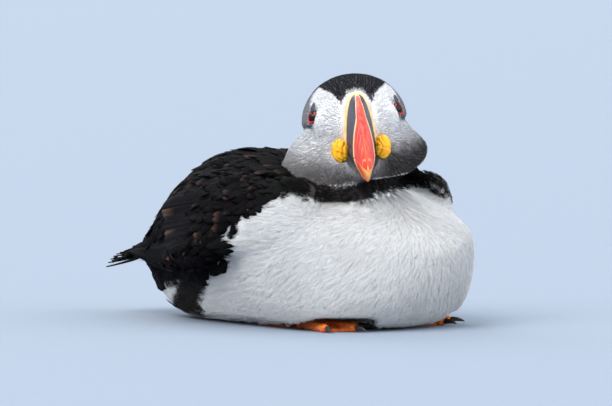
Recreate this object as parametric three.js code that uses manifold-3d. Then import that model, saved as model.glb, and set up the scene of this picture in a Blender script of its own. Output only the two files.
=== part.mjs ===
// Atlantic puffin resting on its belly, life size, as a still display model.
//
// Frame: millimetres, +Z up. The bird faces -Y, its left side is +X, and the floor is Z = 0.
// The origin is on the floor, at the middle of the flat that the belly rests on.
// The head is turned to the bird's right. Its pieces sit in a group of their own,
// modelled facing -Y around the middle of the skull and then turned.

import * as THREE from 'three';
import { ParametricGeometry } from 'three/addons/geometries/ParametricGeometry.js';
import { mergeVertices } from 'three/addons/utils/BufferGeometryUtils.js';
import Module from 'manifold-3d';

const wasm = await Module();
wasm.setup();

const { sin, cos, abs, sign, sqrt, max, min, PI } = Math;
const DEG = PI / 180;

// ---------------------------------------------------------------- driving dimensions

const GAP = 0.3; // clearance between pieces that meet

const BREAST_FRONT = -74; // foremost point of the breast, in Y
const TRUNK_REAR = 97; // where the rump closes, inside the root of the tail
const FRONT_ROUND = 40; // length over which the breast rounds off
const REAR_ROUND = 14;

// Stations of the trunk from breast to rump: [Y, value].
const TRUNK_HALF_WIDTH = [[-74, 50], [-38, 52.5], [-20, 53], [0, 50], [28, 43.5], [50, 35], [62, 29.5], [72, 25], [97, 14]];
const TRUNK_TOP = [[-74, 50], [-58, 54], [-42, 57], [-24, 63], [0, 72], [20, 76], [45, 76], [60, 70.5], [78, 54], [97, 38]];
const TRUNK_WIDEST = [[-74, 33], [-38, 34], [0, 36], [50, 34], [80, 30], [97, 28]];
const TRUNK_BOTTOM = [[-74, -8], [0, -7], [50, -6], [66, -3], [80, 4], [90, 12], [97, 19]];
const TRUNK_FULLNESS = [[-74, 2.6], [-40, 2.8], [0, 2.5], [40, 2.4], [97, 2.4]]; // 2 is an ellipse in section

const HEAD_CENTRE = new THREE.Vector3(0, -24, 85);
const HEAD_YAW = -44 * DEG; // turned to the bird's right
const HEAD_PITCH = 8 * DEG; // bill a little down
const HEAD_ROLL = -5.5 * DEG; // crown leaning to the bird's right

// Ellipsoids that make up the head, in the head's own frame.
const SKULL = { centre: new THREE.Vector3(-0.6, 2.5, 4), radii: new THREE.Vector3(23.9, 25.5, 21.4) };
const CHEEKS = { centre: new THREE.Vector3(-1.2, 1.2, -10), radii: new THREE.Vector3(31.2, 26.8, 15.6) };
const LORES = { centre: new THREE.Vector3(0, -9, -0.5), radii: new THREE.Vector3(13.5, 14.5, 20.5) };

// The dark collar, in the body's frame.
const COLLAR = { centre: new THREE.Vector3(-1, -18, 54.5), radii: new THREE.Vector3(33, 30, 10.5) };

const BILL_BASE = -20; // in the head's own frame
const BILL_LENGTH = 39;
const CULMEN_TOP = 20.3; // height of the bill's ridge at its base
const GAPE = -4; // height of the mouth line at the base
const GAPE_DROP = 2.4; // how far the mouth line falls towards the tip
const CHIN = -14.4; // height of the bill's lower edge at its base
const BILL_HALF_WIDTH = 6.8;
const BILL_TIP_HALF_WIDTH = 1.3;
const TIP_HOOK = 0.6; // how far the upper tip hangs over the mouth line
const BORDER_DEPTH = 3.2; // the fleshy border round the base of the bill
const BORDER_PROUD = 0.9;

const EYE_BEARING = 58 * DEG; // round the skull from straight ahead
const EYE_TURN = 13 * DEG; // how much further to the side the eye looks than the skull's surface there
const EYE_RISE = 17 * DEG; // up the skull from its widest level
const EYE_RADIUS = 3.5;
const EYE_SUNK = 2.0; // how far the eyeball's middle lies under the skin
const RING_RADIUS = 3.0;
const RING_THICK = 0.8;
const SOCKET_DEPTH = 1.5;
const PLATE_UPPER = { topRadius: 0.6, footRadius: 1.8, height: 3, flatness: 0.6, rise: 5.6, out: -0.1 };
const PLATE_LOWER = { radius: 0.9, length: 3.4, rise: -5, out: -0.2 };

// The folded pad at each corner of the mouth: its place from the gape, its half sizes and its turn.
const ROSETTE = { across: 9.3, ahead: 1.6, below: 0.6, radii: new THREE.Vector3(3.7, 2.6, 5), turn: 32 * DEG };

const WING_THICK = 5;
const TAIL_ROOT = 80;
const TAIL_TIP = 116;
const TAIL_ROOT_HEIGHT = 37;
const TAIL_TIP_HEIGHT = 24;
const TAIL_HALF_WIDTH = [[0, 11], [0.4, 15], [0.75, 18], [1, 19]]; // [share of its length, value]
const TAIL_ROOT_HALF_THICK = 3.6;
const TAIL_TIP_HALF_THICK = 1.2;
const TAIL_ARCH = 0.012; // how fast the fan falls away from its middle line, per mm

const TARSUS_RADIUS = 3.1;
const TOE_RADIUS = 2.1;
const WEB_THICK = 1.2;
const FOOT_X = 25; // meeting point of the three toes
const FOOT_Y = -16;
const TOES = [
  { name: 'inner', length: 27, turn: -18 * DEG },
  { name: 'middle', length: 35, turn: 6 * DEG },
  { name: 'outer', length: 32, turn: 29 * DEG },
];
const CLAW_LENGTH = 7;
const CLAW_RADIUS = 1.35;

// ---------------------------------------------------------------- helpers

// A smooth curve through [place, value] stations.
function smooth(stations) {
  const places = stations.map((s) => s[0]);
  const curve = new THREE.CubicInterpolant(places, stations.map((s) => s[1]), 1);
  return (place) => curve.evaluate(min(max(place, places[0]), places.at(-1)))[0];
}

// 1 in the middle of a length, falling to 0 at its end as a quarter ellipse does.
function roundOff(distanceFromEnd, length) {
  const short = max(0, 1 - distanceFromEnd / length);
  return sqrt(max(0, 1 - short * short));
}

// A cosine or sine raised to a power, keeping its sign: a superellipse's coordinate.
function squarer(value, power) {
  return sign(value) * abs(value) ** power;
}

// Turns a geometry into a solid with its faces pointing out.
function solidOf(geometry) {
  const bare = new THREE.BufferGeometry();
  bare.setAttribute('position', geometry.getAttribute('position'));
  if (geometry.index) bare.setIndex(geometry.index);
  const merged = mergeVertices(bare, 1e-4);
  const faces = [];
  const index = merged.index.array;
  for (let i = 0; i < index.length; i += 3) {
    const [a, b, c] = index.subarray(i, i + 3);
    if (a !== b && b !== c && c !== a) faces.push(a, b, c);
  }
  const vertProperties = new Float32Array(merged.getAttribute('position').array);
  const made = new wasm.Manifold(new wasm.Mesh({ numProp: 3, vertProperties, triVerts: new Uint32Array(faces) }));
  if (made.volume() > 0) return made;
  for (let i = 0; i < faces.length; i += 3) [faces[i + 1], faces[i + 2]] = [faces[i + 2], faces[i + 1]];
  return new wasm.Manifold(new wasm.Mesh({ numProp: 3, vertProperties, triVerts: new Uint32Array(faces) }));
}

// A closed skin from place(share, angle, target), with a pole at share = 0 and at share = 1.
// The stations crowd towards both poles, where the form rounds off.
function skin(place, alongCount, aroundCount) {
  const surface = (u, v, target) => place((1 - cos(PI * v)) / 2, (u % 1) * 2 * PI, target);
  return solidOf(new ParametricGeometry(surface, aroundCount, alongCount));
}

// An ellipsoid as a solid.
function ellipsoid({ centre, radii }, grow = 0, detail = 20) {
  const ball = new THREE.SphereGeometry(1, detail, detail * 0.6);
  ball.scale(radii.x + grow, radii.y + grow, radii.z + grow);
  return solidOf(ball.translate(centre.x, centre.y, centre.z));
}

// A solid moved by a matrix.
function moved(solid, matrix) {
  return solid.transform(matrix.elements);
}

// The biggest of a solid's separate bodies, so that no crumb is left by a cut.
function biggest(solid) {
  return solid.decompose().reduce((a, b) => (b.volume() > a.volume() ? b : a));
}

// A solid as a three.js mesh, with flat shading.
function meshOf(name, solid, material) {
  const { vertProperties, triVerts, numProp } = biggest(solid).getMesh();
  const points = [];
  for (let i = 0; i < vertProperties.length; i += numProp) points.push(...vertProperties.subarray(i, i + 3));
  const geometry = new THREE.BufferGeometry();
  geometry.setAttribute('position', new THREE.Float32BufferAttribute(points, 3));
  geometry.setIndex([...triVerts]);
  geometry.computeVertexNormals();
  const mesh = new THREE.Mesh(geometry, material);
  mesh.name = name;
  return mesh;
}

// ---------------------------------------------------------------- materials

function paint(color, roughness) {
  return new THREE.MeshStandardMaterial({ color, roughness, metalness: 0, flatShading: true });
}

const WHITE_DOWN = paint(0xe9e8e4, 0.9);
const FACE_GREY = paint(0xc9c8c8, 0.9);
const COLLAR_BLACK = paint(0x231f1f, 0.85);
const WING_BLACK = paint(0x1c191a, 0.75);
const HORN_RED = paint(0xe2513c, 0.45);
const HORN_ORANGE = paint(0xe8672c, 0.45);
const BORDER_CREAM = paint(0xf0d58c, 0.6);
const ROSETTE_YELLOW = paint(0xf0a81c, 0.6);
const EYE_BROWN = paint(0x1b1312, 0.1);
const RING_RED = paint(0xcf3b22, 0.5);
const PLATE_SLATE = paint(0x4a5560, 0.6);
const FOOT_ORANGE = paint(0xe4702a, 0.6);
const CLAW_BLACK = paint(0x26211f, 0.4);

// ---------------------------------------------------------------- trunk

const trunkTop = smooth(TRUNK_TOP);
const trunkWidest = smooth(TRUNK_WIDEST);
const trunkBottom = smooth(TRUNK_BOTTOM);
const trunkHalfWidth = smooth(TRUNK_HALF_WIDTH);
const trunkFullness = smooth(TRUNK_FULLNESS);
const trunkEnd = (y) => roundOff(y - BREAST_FRONT, FRONT_ROUND) * roundOff(TRUNK_REAR - y, REAR_ROUND);

// The plump body, cut flat where it rests.
function trunkForm() {
  const place = (share, angle, target) => {
    const y = BREAST_FRONT + (TRUNK_REAR - BREAST_FRONT) * share;
    const middle = trunkWidest(y);
    const reach = sin(angle) > 0 ? trunkTop(y) - middle : middle - trunkBottom(y);
    const power = 2 / trunkFullness(y);
    target.x = trunkHalfWidth(y) * trunkEnd(y) * squarer(cos(angle), power);
    target.y = y;
    target.z = max(0, middle + reach * trunkEnd(y) * squarer(sin(angle), power));
  };
  return skin(place, 20, 24);
}

// How far out the trunk's side is at a given place and height, or 0 above and below it.
function trunkReach(y, z) {
  const middle = trunkWidest(y);
  const reach = z > middle ? trunkTop(y) - middle : middle - trunkBottom(y);
  const short = min(1, abs(z - middle) / (reach * trunkEnd(y) + 0.01));
  const fullness = trunkFullness(y);
  return trunkHalfWidth(y) * trunkEnd(y) * (1 - short ** fullness) ** (1 / fullness);
}

// ---------------------------------------------------------------- head, in the head's own frame

// The skull and the puffed cheeks meet in the crease behind each eye.
function headForm(grow = 0) {
  return ellipsoid(SKULL, grow, 20).add(ellipsoid(CHEEKS, grow, 20)).add(ellipsoid(LORES, grow, 12));
}

// ---------------------------------------------------------------- bill, in the head's own frame

// Curves of the bill's profile, against the share of its length from base to tip.
const mouthLine = (along) => GAPE - GAPE_DROP * (0.55 * along + 0.45 * along ** 6);
const TIP_HEIGHT = mouthLine(1) - TIP_HOOK;
const culmen = (along) => TIP_HEIGHT + (CULMEN_TOP - TIP_HEIGHT) * (1 - along ** 1.9) ** 0.645;
const gonys = smooth([[0, CHIN], [0.3, CHIN - 0.4], [0.6, CHIN + 0.3], [0.85, CHIN + 2.2], [1, CHIN + 6.6]]);
const billHalfWidth = (along) => BILL_TIP_HALF_WIDTH + (BILL_HALF_WIDTH - BILL_TIP_HALF_WIDTH) * (1 - along) ** 0.9;

// One mandible: flat along the mouth line, and a rounded ridge on its far side.
// Its first and last stations close the root and the tip with flat faces.
function mandible(edge, ridge, start, end, grow) {
  const place = (share, angle, target) => {
    const along = start + (end - start) * min(1, max(0, (share - 0.04) / 0.92));
    const open = share > 0.005 && share < 0.995 ? 1 : 0;
    const height = ridge(along) - edge(along);
    const rise = height + sign(height) * grow;
    target.x = (billHalfWidth(along) + grow) * squarer(cos(angle), 0.8) * open;
    target.y = BILL_BASE - BILL_LENGTH * along;
    target.z = edge(along) + rise * (open ? max(0, sin(angle)) ** 1.25 : 0.4);
  };
  return skin(place, 14, 14);
}

function upperMandible(grow = 0, start = BORDER_DEPTH / BILL_LENGTH) {
  return mandible(mouthLine, culmen, start, 0.985, grow);
}

function lowerMandible(grow = 0) {
  return mandible((along) => mouthLine(along) - GAP, gonys, 0, 0.93, grow);
}

// The cream border: a proud slice of the upper mandible's root.
function billBorder(grow = 0) {
  const depth = BORDER_DEPTH - GAP;
  const height = 2 * CULMEN_TOP;
  const slice = new THREE.BoxGeometry(4 * BILL_HALF_WIDTH, depth + 2 * grow, height);
  slice.translate(0, BILL_BASE - depth / 2, GAPE - 1 + height / 2);
  return upperMandible(BORDER_PROUD + grow, 0).intersect(solidOf(slice));
}

// A round pad of folded skin at the corner of the mouth.
function rosette(side, grow = 0) {
  const centre = new THREE.Vector3(side * ROSETTE.across, BILL_BASE - ROSETTE.ahead, GAPE - ROSETTE.below);
  const pad = ellipsoid({ centre: new THREE.Vector3(), radii: ROSETTE.radii }, grow, 12);
  return moved(pad, new THREE.Matrix4().makeRotationZ(side * ROSETTE.turn).setPosition(centre));
}

// ---------------------------------------------------------------- eyes, in the head's own frame

const UPRIGHT = new THREE.Vector3(0, 0, 1);

// A frame on the skin at the eye: its X is ahead along the skin, Y up along it and Z straight out.
function eyeFrame(side) {
  const level = cos(EYE_RISE);
  const round = new THREE.Vector3(side * level * sin(EYE_BEARING), -level * cos(EYE_BEARING), sin(EYE_RISE));
  const spot = round.clone().multiply(SKULL.radii).add(SKULL.centre);
  const out = round.divide(SKULL.radii).applyAxisAngle(UPRIGHT, side * EYE_TURN).normalize();
  const up = UPRIGHT.clone().addScaledVector(out, -out.z).normalize();
  const ahead = new THREE.Vector3().crossVectors(up, out);
  return new THREE.Matrix4().makeBasis(ahead, up, out).setPosition(spot);
}

function onEye(side, geometry, ahead, up, out) {
  return moved(solidOf(geometry.translate(ahead, up, out)), eyeFrame(side));
}

// The part of the eyeball that stands in the socket.
function eyeball(side, grow = 0) {
  const ball = onEye(side, new THREE.SphereGeometry(EYE_RADIUS + grow, 12, 9), 0, 0, -EYE_SUNK);
  return ball.intersect(onEye(side, new THREE.BoxGeometry(20, 20, 10), 0, 0, 5 + GAP - SOCKET_DEPTH));
}

function eyeRing(side, grow = 0) {
  return onEye(side, new THREE.TorusGeometry(RING_RADIUS, RING_THICK + grow, 5, 14), 0, 0, 0.2);
}

// The round recess in the skull that takes the eyeball and its ring.
function socket(side) {
  const radius = RING_RADIUS + RING_THICK + GAP;
  const well = new THREE.CylinderGeometry(radius, radius, 4 * SOCKET_DEPTH, 16).rotateX(PI / 2);
  return onEye(side, well, 0, 0, SOCKET_DEPTH);
}

// The horny plates: a small wedge above the eye and a longer bar below it.
function eyePlateUpper(side) {
  const wedge = new THREE.CylinderGeometry(PLATE_UPPER.topRadius, PLATE_UPPER.footRadius, PLATE_UPPER.height, 8);
  return onEye(side, wedge.scale(1, 1, PLATE_UPPER.flatness), 0, PLATE_UPPER.rise, PLATE_UPPER.out);
}

function eyePlateLower(side) {
  const bar = new THREE.CapsuleGeometry(PLATE_LOWER.radius, PLATE_LOWER.length, 2, 6).rotateZ(PI / 2);
  return onEye(side, bar, 0, PLATE_LOWER.rise, PLATE_LOWER.out);
}

// ---------------------------------------------------------------- wings

// Stations of the folded wing from wrist to tip: [Y, value].
const WING_FRONT = -42;
const WING_REAR = 98;
const WING_X = [[-42, 43.5], [-25, 47.5], [-5, 50], [15, 49], [35, 43], [55, 32], [70, 22], [84, 14], [98, 8]];
const WING_Z = [[-42, 57], [-25, 55], [-5, 50.5], [15, 47.5], [35, 45], [55, 43], [70, 38], [80, 32.5], [98, 27.5]];
const WING_HALF_HEIGHT = [[-42, 10], [-25, 12.5], [-5, 17], [15, 20.5], [35, 22], [55, 20.5], [70, 13], [80, 7], [98, 4]];
const WING_LEAN = [[-42, 0.5], [-5, 0.42], [35, 0.42], [70, 0.5], [98, 0.8]]; // inward shift of the upper edge
const WING_WRAP = 0.16; // how fast the rims bend in towards the body
const WING_TIP_THICK = 1.2;
const WING_PROUD = 1.5; // how far its middle surface stands off the trunk
const WING_CLEARANCE = 2 * GAP; // its recess in the trunk is coarser than it is, so it needs more room

// The folded wing lies on the flank, with its middle surface never inside the trunk.
function wing(side, grow = 0) {
  const [x, z, halfHeight, lean] = [WING_X, WING_Z, WING_HALF_HEIGHT, WING_LEAN].map(smooth);
  const place = (share, angle, target) => {
    const y = WING_FRONT + (WING_REAR - WING_FRONT) * share;
    const end = roundOff(share, 0.1) * roundOff(1 - share, 0.05);
    const thick = WING_TIP_THICK + (WING_THICK - WING_TIP_THICK) * min(1, 1.6 * (1 - share));
    const atPole = end === 0;
    const offset = atPole ? 0 : grow;
    const across = squarer(sin(angle), 0.9) * halfHeight(y) * end;
    const wrap = WING_WRAP * abs(across * sin(angle));
    const middle = max(x(y) - lean(y) * across - wrap, trunkReach(y, z(y) + across) + WING_PROUD);
    target.x = side * (middle + cos(angle) * (thick * end + offset));
    target.y = y + (atPole ? sign(share - 0.5) * grow : 0);
    target.z = z(y) + across + sin(angle) * offset;
  };
  return skin(place, 18, 12);
}

// ---------------------------------------------------------------- tail

// A short, slightly arched fan that comes out of the rump.
function tail(grow = 0) {
  const halfWidth = smooth(TAIL_HALF_WIDTH);
  const place = (share, angle, target) => {
    const end = roundOff(share, 0.06) * roundOff(1 - share, 0.16);
    const x = (halfWidth(share) + grow) * end * cos(angle);
    const halfThick = TAIL_ROOT_HALF_THICK + (TAIL_TIP_HALF_THICK - TAIL_ROOT_HALF_THICK) * share;
    const thick = (halfThick + grow) * end;
    target.x = x;
    target.y = TAIL_ROOT + (TAIL_TIP - TAIL_ROOT) * share + 2 * grow * (share - 0.5);
    target.z = TAIL_ROOT_HEIGHT + (TAIL_TIP_HEIGHT - TAIL_ROOT_HEIGHT) * share + thick * sin(angle) - TAIL_ARCH * x * x;
  };
  return skin(place, 12, 16);
}

// ---------------------------------------------------------------- legs and feet

const footMatrix = (side) => new THREE.Matrix4().makeTranslation(side * FOOT_X, FOOT_Y, 0);

// A rounded bar lying on the floor from one point to another, cut flat underneath.
function bar(from, to, radiusFrom, radiusTo, grow) {
  const ahead = new THREE.Vector3().subVectors(to, from);
  const length = ahead.length();
  ahead.normalize();
  const beside = new THREE.Vector3(-ahead.y, ahead.x, 0).normalize();
  const place = (share, angle, target) => {
    const radius = radiusFrom + (radiusTo - radiusFrom) * share;
    const end = roundOff(share * length, radius) * roundOff((1 - share) * length, radius);
    target.copy(from).addScaledVector(ahead, share * length + 2 * grow * (share - 0.5));
    target.addScaledVector(beside, (radius + grow) * end * cos(angle));
    target.z = max(-grow, target.z + (radius + grow) * end * sin(angle));
  };
  return skin(place, 6, 8);
}

// The heel and shank folded flat under the belly.
function leg(side, grow = 0) {
  const from = new THREE.Vector3(side * (FOOT_X - 4), FOOT_Y + 31, 2.7);
  const to = new THREE.Vector3(side * FOOT_X, FOOT_Y + 4.4, 2.3);
  return bar(from, to, TARSUS_RADIUS + 0.6, TARSUS_RADIUS, grow);
}

// Where a toe ends, measured from the meeting point of the toes.
function toeEnd(turn, side, length) {
  return new THREE.Vector3(side * sin(turn) * length, -cos(turn) * length, 0);
}

// Three toes and the web between them, as one piece.
function foot(side, grow = 0) {
  const ball = { centre: new THREE.Vector3(0, 0, 2.2), radii: new THREE.Vector3(4, 4.2, 2.6) };
  let made = ellipsoid(ball, grow, 10);
  const outline = new THREE.Shape();
  outline.moveTo(0, 2);
  TOES.forEach((toe, i) => {
    const end = toeEnd(toe.turn, side, toe.length).setZ(1.5);
    made = made.add(bar(new THREE.Vector3(0, 0, 1.9), end, TOE_RADIUS + 0.4, TOE_RADIUS - 0.3, grow));
    const webEnd = toeEnd(toe.turn, side, toe.length * 0.93);
    const before = TOES[i - 1];
    if (before) {
      const hollow = toeEnd((before.turn + toe.turn) / 2, side, toe.length * 0.74);
      outline.quadraticCurveTo(hollow.x, hollow.y, webEnd.x, webEnd.y);
    } else {
      outline.lineTo(webEnd.x, webEnd.y);
    }
  });
  outline.closePath();
  const web = new THREE.ExtrudeGeometry(outline, { depth: WEB_THICK + grow, bevelEnabled: false, curveSegments: 3 });
  const below = new THREE.BoxGeometry(200, 200, 20).translate(0, 0, -10);
  return moved(made.add(solidOf(web)).subtract(solidOf(below)), footMatrix(side));
}

// A hooked claw at the end of a toe.
function claw(toe, side, grow = 0) {
  const root = toeEnd(toe.turn, side, toe.length - 1.5);
  const ahead = toeEnd(toe.turn, side, 1);
  const beside = new THREE.Vector3(-ahead.y, ahead.x, 0);
  const place = (share, angle, target) => {
    const radius = CLAW_RADIUS * (1 - share) ** 0.7 + 0.1 + grow;
    const end = roundOff(share, 0.1) * roundOff(1 - share, 0.03);
    target.copy(root).addScaledVector(ahead, CLAW_LENGTH * share);
    target.addScaledVector(beside, radius * end * 0.75 * cos(angle));
    target.z = max(0, 1.7 + 0.9 * sin(PI * share * 0.8) - 1.3 * share + radius * end * sin(angle));
  };
  return moved(skin(place, 6, 7), footMatrix(side));
}

// The hollow under the belly that the foot and its claws lie in.
function footWell(side) {
  const [inner, , outer] = TOES;
  const margin = TOE_RADIUS + 2 * GAP;
  const outline = new THREE.Shape();
  outline.moveTo(-side * margin * 2, margin * 2);
  outline.lineTo(side * margin * 2, margin * 2);
  for (const toe of [outer, TOES[1], inner]) {
    for (const aside of [1, -1]) {
      const end = toeEnd(toe.turn + aside * 6 * DEG, side, toe.length + CLAW_LENGTH + GAP);
      outline.lineTo(end.x, end.y);
    }
  }
  outline.closePath();
  const well = new THREE.ExtrudeGeometry(outline, { depth: 2 * TOE_RADIUS + 2, bevelEnabled: false });
  return moved(solidOf(well.translate(0, 0, -1)), footMatrix(side));
}

// ---------------------------------------------------------------- assembly

const SIDES = [['left', 1], ['right', -1]];

const headTurn = new THREE.Matrix4().makeRotationFromEuler(new THREE.Euler(HEAD_PITCH, HEAD_ROLL, HEAD_YAW, 'ZYX'));
const headMatrix = headTurn.clone().setPosition(HEAD_CENTRE);

function cutBy(solid, ...cutters) {
  return cutters.reduce((left, cutter) => left.subtract(cutter), solid);
}

function buildHead() {
  const group = new THREE.Group();
  group.applyMatrix4(headMatrix);
  const bill = [billBorder(GAP), upperMandible(GAP), lowerMandible(GAP)];
  let head = cutBy(headForm(), ...bill);
  group.add(meshOf('bill_border', billBorder(), BORDER_CREAM));
  group.add(meshOf('bill_upper', upperMandible(), HORN_RED));
  group.add(meshOf('bill_lower', lowerMandible(), HORN_ORANGE));
  for (const [name, side] of SIDES) {
    group.add(meshOf(`rosette_${name}`, cutBy(rosette(side), ...bill), ROSETTE_YELLOW));
    group.add(meshOf(`eye_${name}`, eyeball(side), EYE_BROWN));
    group.add(meshOf(`eye_ring_${name}`, cutBy(eyeRing(side), eyeball(side, GAP)), RING_RED));
    const around = [socket(side), headForm(GAP)];
    group.add(meshOf(`eye_plate_upper_${name}`, cutBy(eyePlateUpper(side), ...around), PLATE_SLATE));
    group.add(meshOf(`eye_plate_lower_${name}`, cutBy(eyePlateLower(side), ...around), PLATE_SLATE));
    head = cutBy(head, rosette(side, GAP), socket(side));
  }
  group.add(meshOf('head', head, FACE_GREY));
  return group;
}

function buildBody() {
  const group = new THREE.Group();
  const face = moved(headForm(GAP), headMatrix);
  const collar = ellipsoid(COLLAR, GAP, 18);
  const bill = moved(lowerMandible(GAP).add(upperMandible(GAP)), headMatrix);
  let trunk = cutBy(trunkForm(), face, collar, tail(GAP), bill);
  for (const [name, side] of SIDES) {
    const otherWing = side < 0 ? [wing(1, GAP)] : [];
    group.add(meshOf(`wing_${name}`, cutBy(wing(side), face, collar, tail(GAP), ...otherWing), WING_BLACK));
    group.add(meshOf(`leg_${name}`, cutBy(leg(side), foot(side, GAP)), FOOT_ORANGE));
    let toes = foot(side);
    for (const toe of TOES) {
      group.add(meshOf(`claw_${toe.name}_${name}`, claw(toe, side), CLAW_BLACK));
      toes = cutBy(toes, claw(toe, side, GAP));
    }
    group.add(meshOf(`foot_${name}`, toes, FOOT_ORANGE));
    trunk = cutBy(trunk, wing(side, WING_CLEARANCE), footWell(side), leg(side, GAP));
  }
  group.add(meshOf('trunk', trunk, WHITE_DOWN));
  group.add(meshOf('neck', cutBy(ellipsoid(COLLAR, 0, 18), face, bill), COLLAR_BLACK));
  group.add(meshOf('tail', tail(), WING_BLACK));
  return group;
}

const puffin = new THREE.Group();
puffin.add(buildBody(), buildHead());

export default puffin;
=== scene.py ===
# %% [markdown]
# # Atlantic puffin, life size, resting on its belly
# The bird is a museum-type model in one fixed pose. Its construction (the solids) is loaded as
# a frame that never moves, and this lesson adds the looks: one skin under everything soft,
# feathers as thin solid mesh over the skin, and horn, eyes and feet as separate pieces.

# %% Load the frame
import math

import bmesh
import bpy
import numpy as np
from mathutils import Matrix, Vector, noise
from mathutils.bvhtree import BVHTree


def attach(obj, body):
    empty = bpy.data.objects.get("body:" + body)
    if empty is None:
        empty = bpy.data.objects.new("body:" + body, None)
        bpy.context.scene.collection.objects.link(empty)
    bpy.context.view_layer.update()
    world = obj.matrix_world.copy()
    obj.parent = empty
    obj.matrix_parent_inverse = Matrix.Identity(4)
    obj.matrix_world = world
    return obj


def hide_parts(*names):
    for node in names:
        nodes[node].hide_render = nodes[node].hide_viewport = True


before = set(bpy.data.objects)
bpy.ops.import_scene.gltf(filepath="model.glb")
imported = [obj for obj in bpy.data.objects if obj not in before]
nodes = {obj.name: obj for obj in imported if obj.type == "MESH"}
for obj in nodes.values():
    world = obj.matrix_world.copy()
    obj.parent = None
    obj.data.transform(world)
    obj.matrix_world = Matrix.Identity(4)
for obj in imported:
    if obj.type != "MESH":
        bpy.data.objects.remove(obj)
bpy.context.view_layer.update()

MM = 0.001

# %% [markdown]
# ## Camera
# A long lens far away shows a small bird without stretching its bill. The camera stands at the
# bird's right front, almost level with it. The head's centre is the anchor of the framing, so
# the aim point is found from it in steps of one picture dot.

# %% Camera
IMAGE_WIDTH, IMAGE_HEIGHT = 612, 406
DOT = 0.435 * MM
VIEW_AZIMUTH = math.radians(47)
VIEW_ELEVATION = math.radians(3)
VIEW_DISTANCE = 3.0
SENSOR_WIDTH = 36
HEAD_MM = np.array((0.0, -24.0, 85.0))
HEAD_DOT = (357, 131)

view_right = Vector((math.cos(VIEW_AZIMUTH), -math.sin(VIEW_AZIMUTH), 0))
level_back = Vector((-math.sin(VIEW_AZIMUTH), -math.cos(VIEW_AZIMUTH), 0))
view_back = level_back * math.cos(VIEW_ELEVATION) + Vector((0, 0, math.sin(VIEW_ELEVATION)))
view_up = view_back.cross(view_right)
aim = Vector(HEAD_MM) * MM + view_right * (IMAGE_WIDTH / 2 - HEAD_DOT[0]) * DOT
aim += view_up * (HEAD_DOT[1] - IMAGE_HEIGHT / 2) * DOT

camera_data = bpy.data.cameras.new("camera")
camera_data.sensor_width = SENSOR_WIDTH
camera_data.lens = SENSOR_WIDTH * VIEW_DISTANCE / (IMAGE_WIDTH * DOT)
camera_data.clip_start = 0.1
camera = bpy.data.objects.new("camera", camera_data)
camera.location = aim + view_back * VIEW_DISTANCE
camera.rotation_euler = view_back.to_track_quat("Z", "Y").to_euler()
bpy.context.scene.collection.objects.link(camera)
bpy.context.scene.camera = camera
print("lens:", round(camera_data.lens, 1), "mm")

# %% [markdown]
# ## Shader helper
# Materials are small sums of masks and colours. One class wraps a node's output and gives it
# the plus, minus and times of ordinary numbers, so that a formula in the text is a chain of
# Math nodes in the material. A second class starts a material, makes its other nodes and plugs
# the finished colour, roughness and relief into its shader.

# %% Shader helper
class Wire:
    """One output of a shader node; arithmetic on it adds Math nodes."""

    def __init__(self, tree, socket):
        self.tree = tree
        self.socket = socket

    @staticmethod
    def node(tree, kind, settings=None, inputs=None, out=0):
        made = tree.nodes.new(kind)
        for name, value in (settings or {}).items():
            setattr(made, name, value)
        for name, value in (inputs or {}).items():
            if isinstance(value, Wire):
                tree.links.new(value.socket, made.inputs[name])
            else:
                made.inputs[name].default_value = value
        return Wire(tree, made.outputs[out])

    def math(self, operation, *values):
        inputs = dict(enumerate(values))
        return Wire.node(self.tree, "ShaderNodeMath", {"operation": operation}, inputs)

    def __add__(self, other):
        return self.math("ADD", self, other)

    def __radd__(self, other):
        return self.math("ADD", other, self)

    def __sub__(self, other):
        return self.math("SUBTRACT", self, other)

    def __rsub__(self, other):
        return self.math("SUBTRACT", other, self)

    def __mul__(self, other):
        return self.math("MULTIPLY", self, other)

    def __rmul__(self, other):
        return self.math("MULTIPLY", other, self)

    def above(self, edge, soft):
        """0 below the edge and 1 above it, over a soft step."""
        step = {"data_type": "FLOAT", "interpolation_type": "SMOOTHSTEP"}
        span = {"Value": self, "From Min": edge - soft, "From Max": edge + soft}
        return Wire.node(self.tree, "ShaderNodeMapRange", step, span)


def srgb(red, green, blue):
    """A colour given in the 0 to 255 steps of a screen, as the linear colour of light."""
    steps = [value / 255 for value in (red, green, blue)]
    linear = [s / 12.92 if s < 0.04045 else ((s + 0.055) / 1.055) ** 2.4 for s in steps]
    return (*linear, 1.0)


def blend_colours(factor, low, high):
    return Wire.node(factor.tree, "ShaderNodeMix", {"data_type": "RGBA"}, {0: factor, 6: low, 7: high}, 2)


def scale_colour(colour, factor):
    """A colour made lighter or darker by a number that changes over the surface."""
    return Wire.node(colour.tree, "ShaderNodeVectorMath", {"operation": "SCALE"},
                     {0: colour, "Scale": factor})


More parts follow.
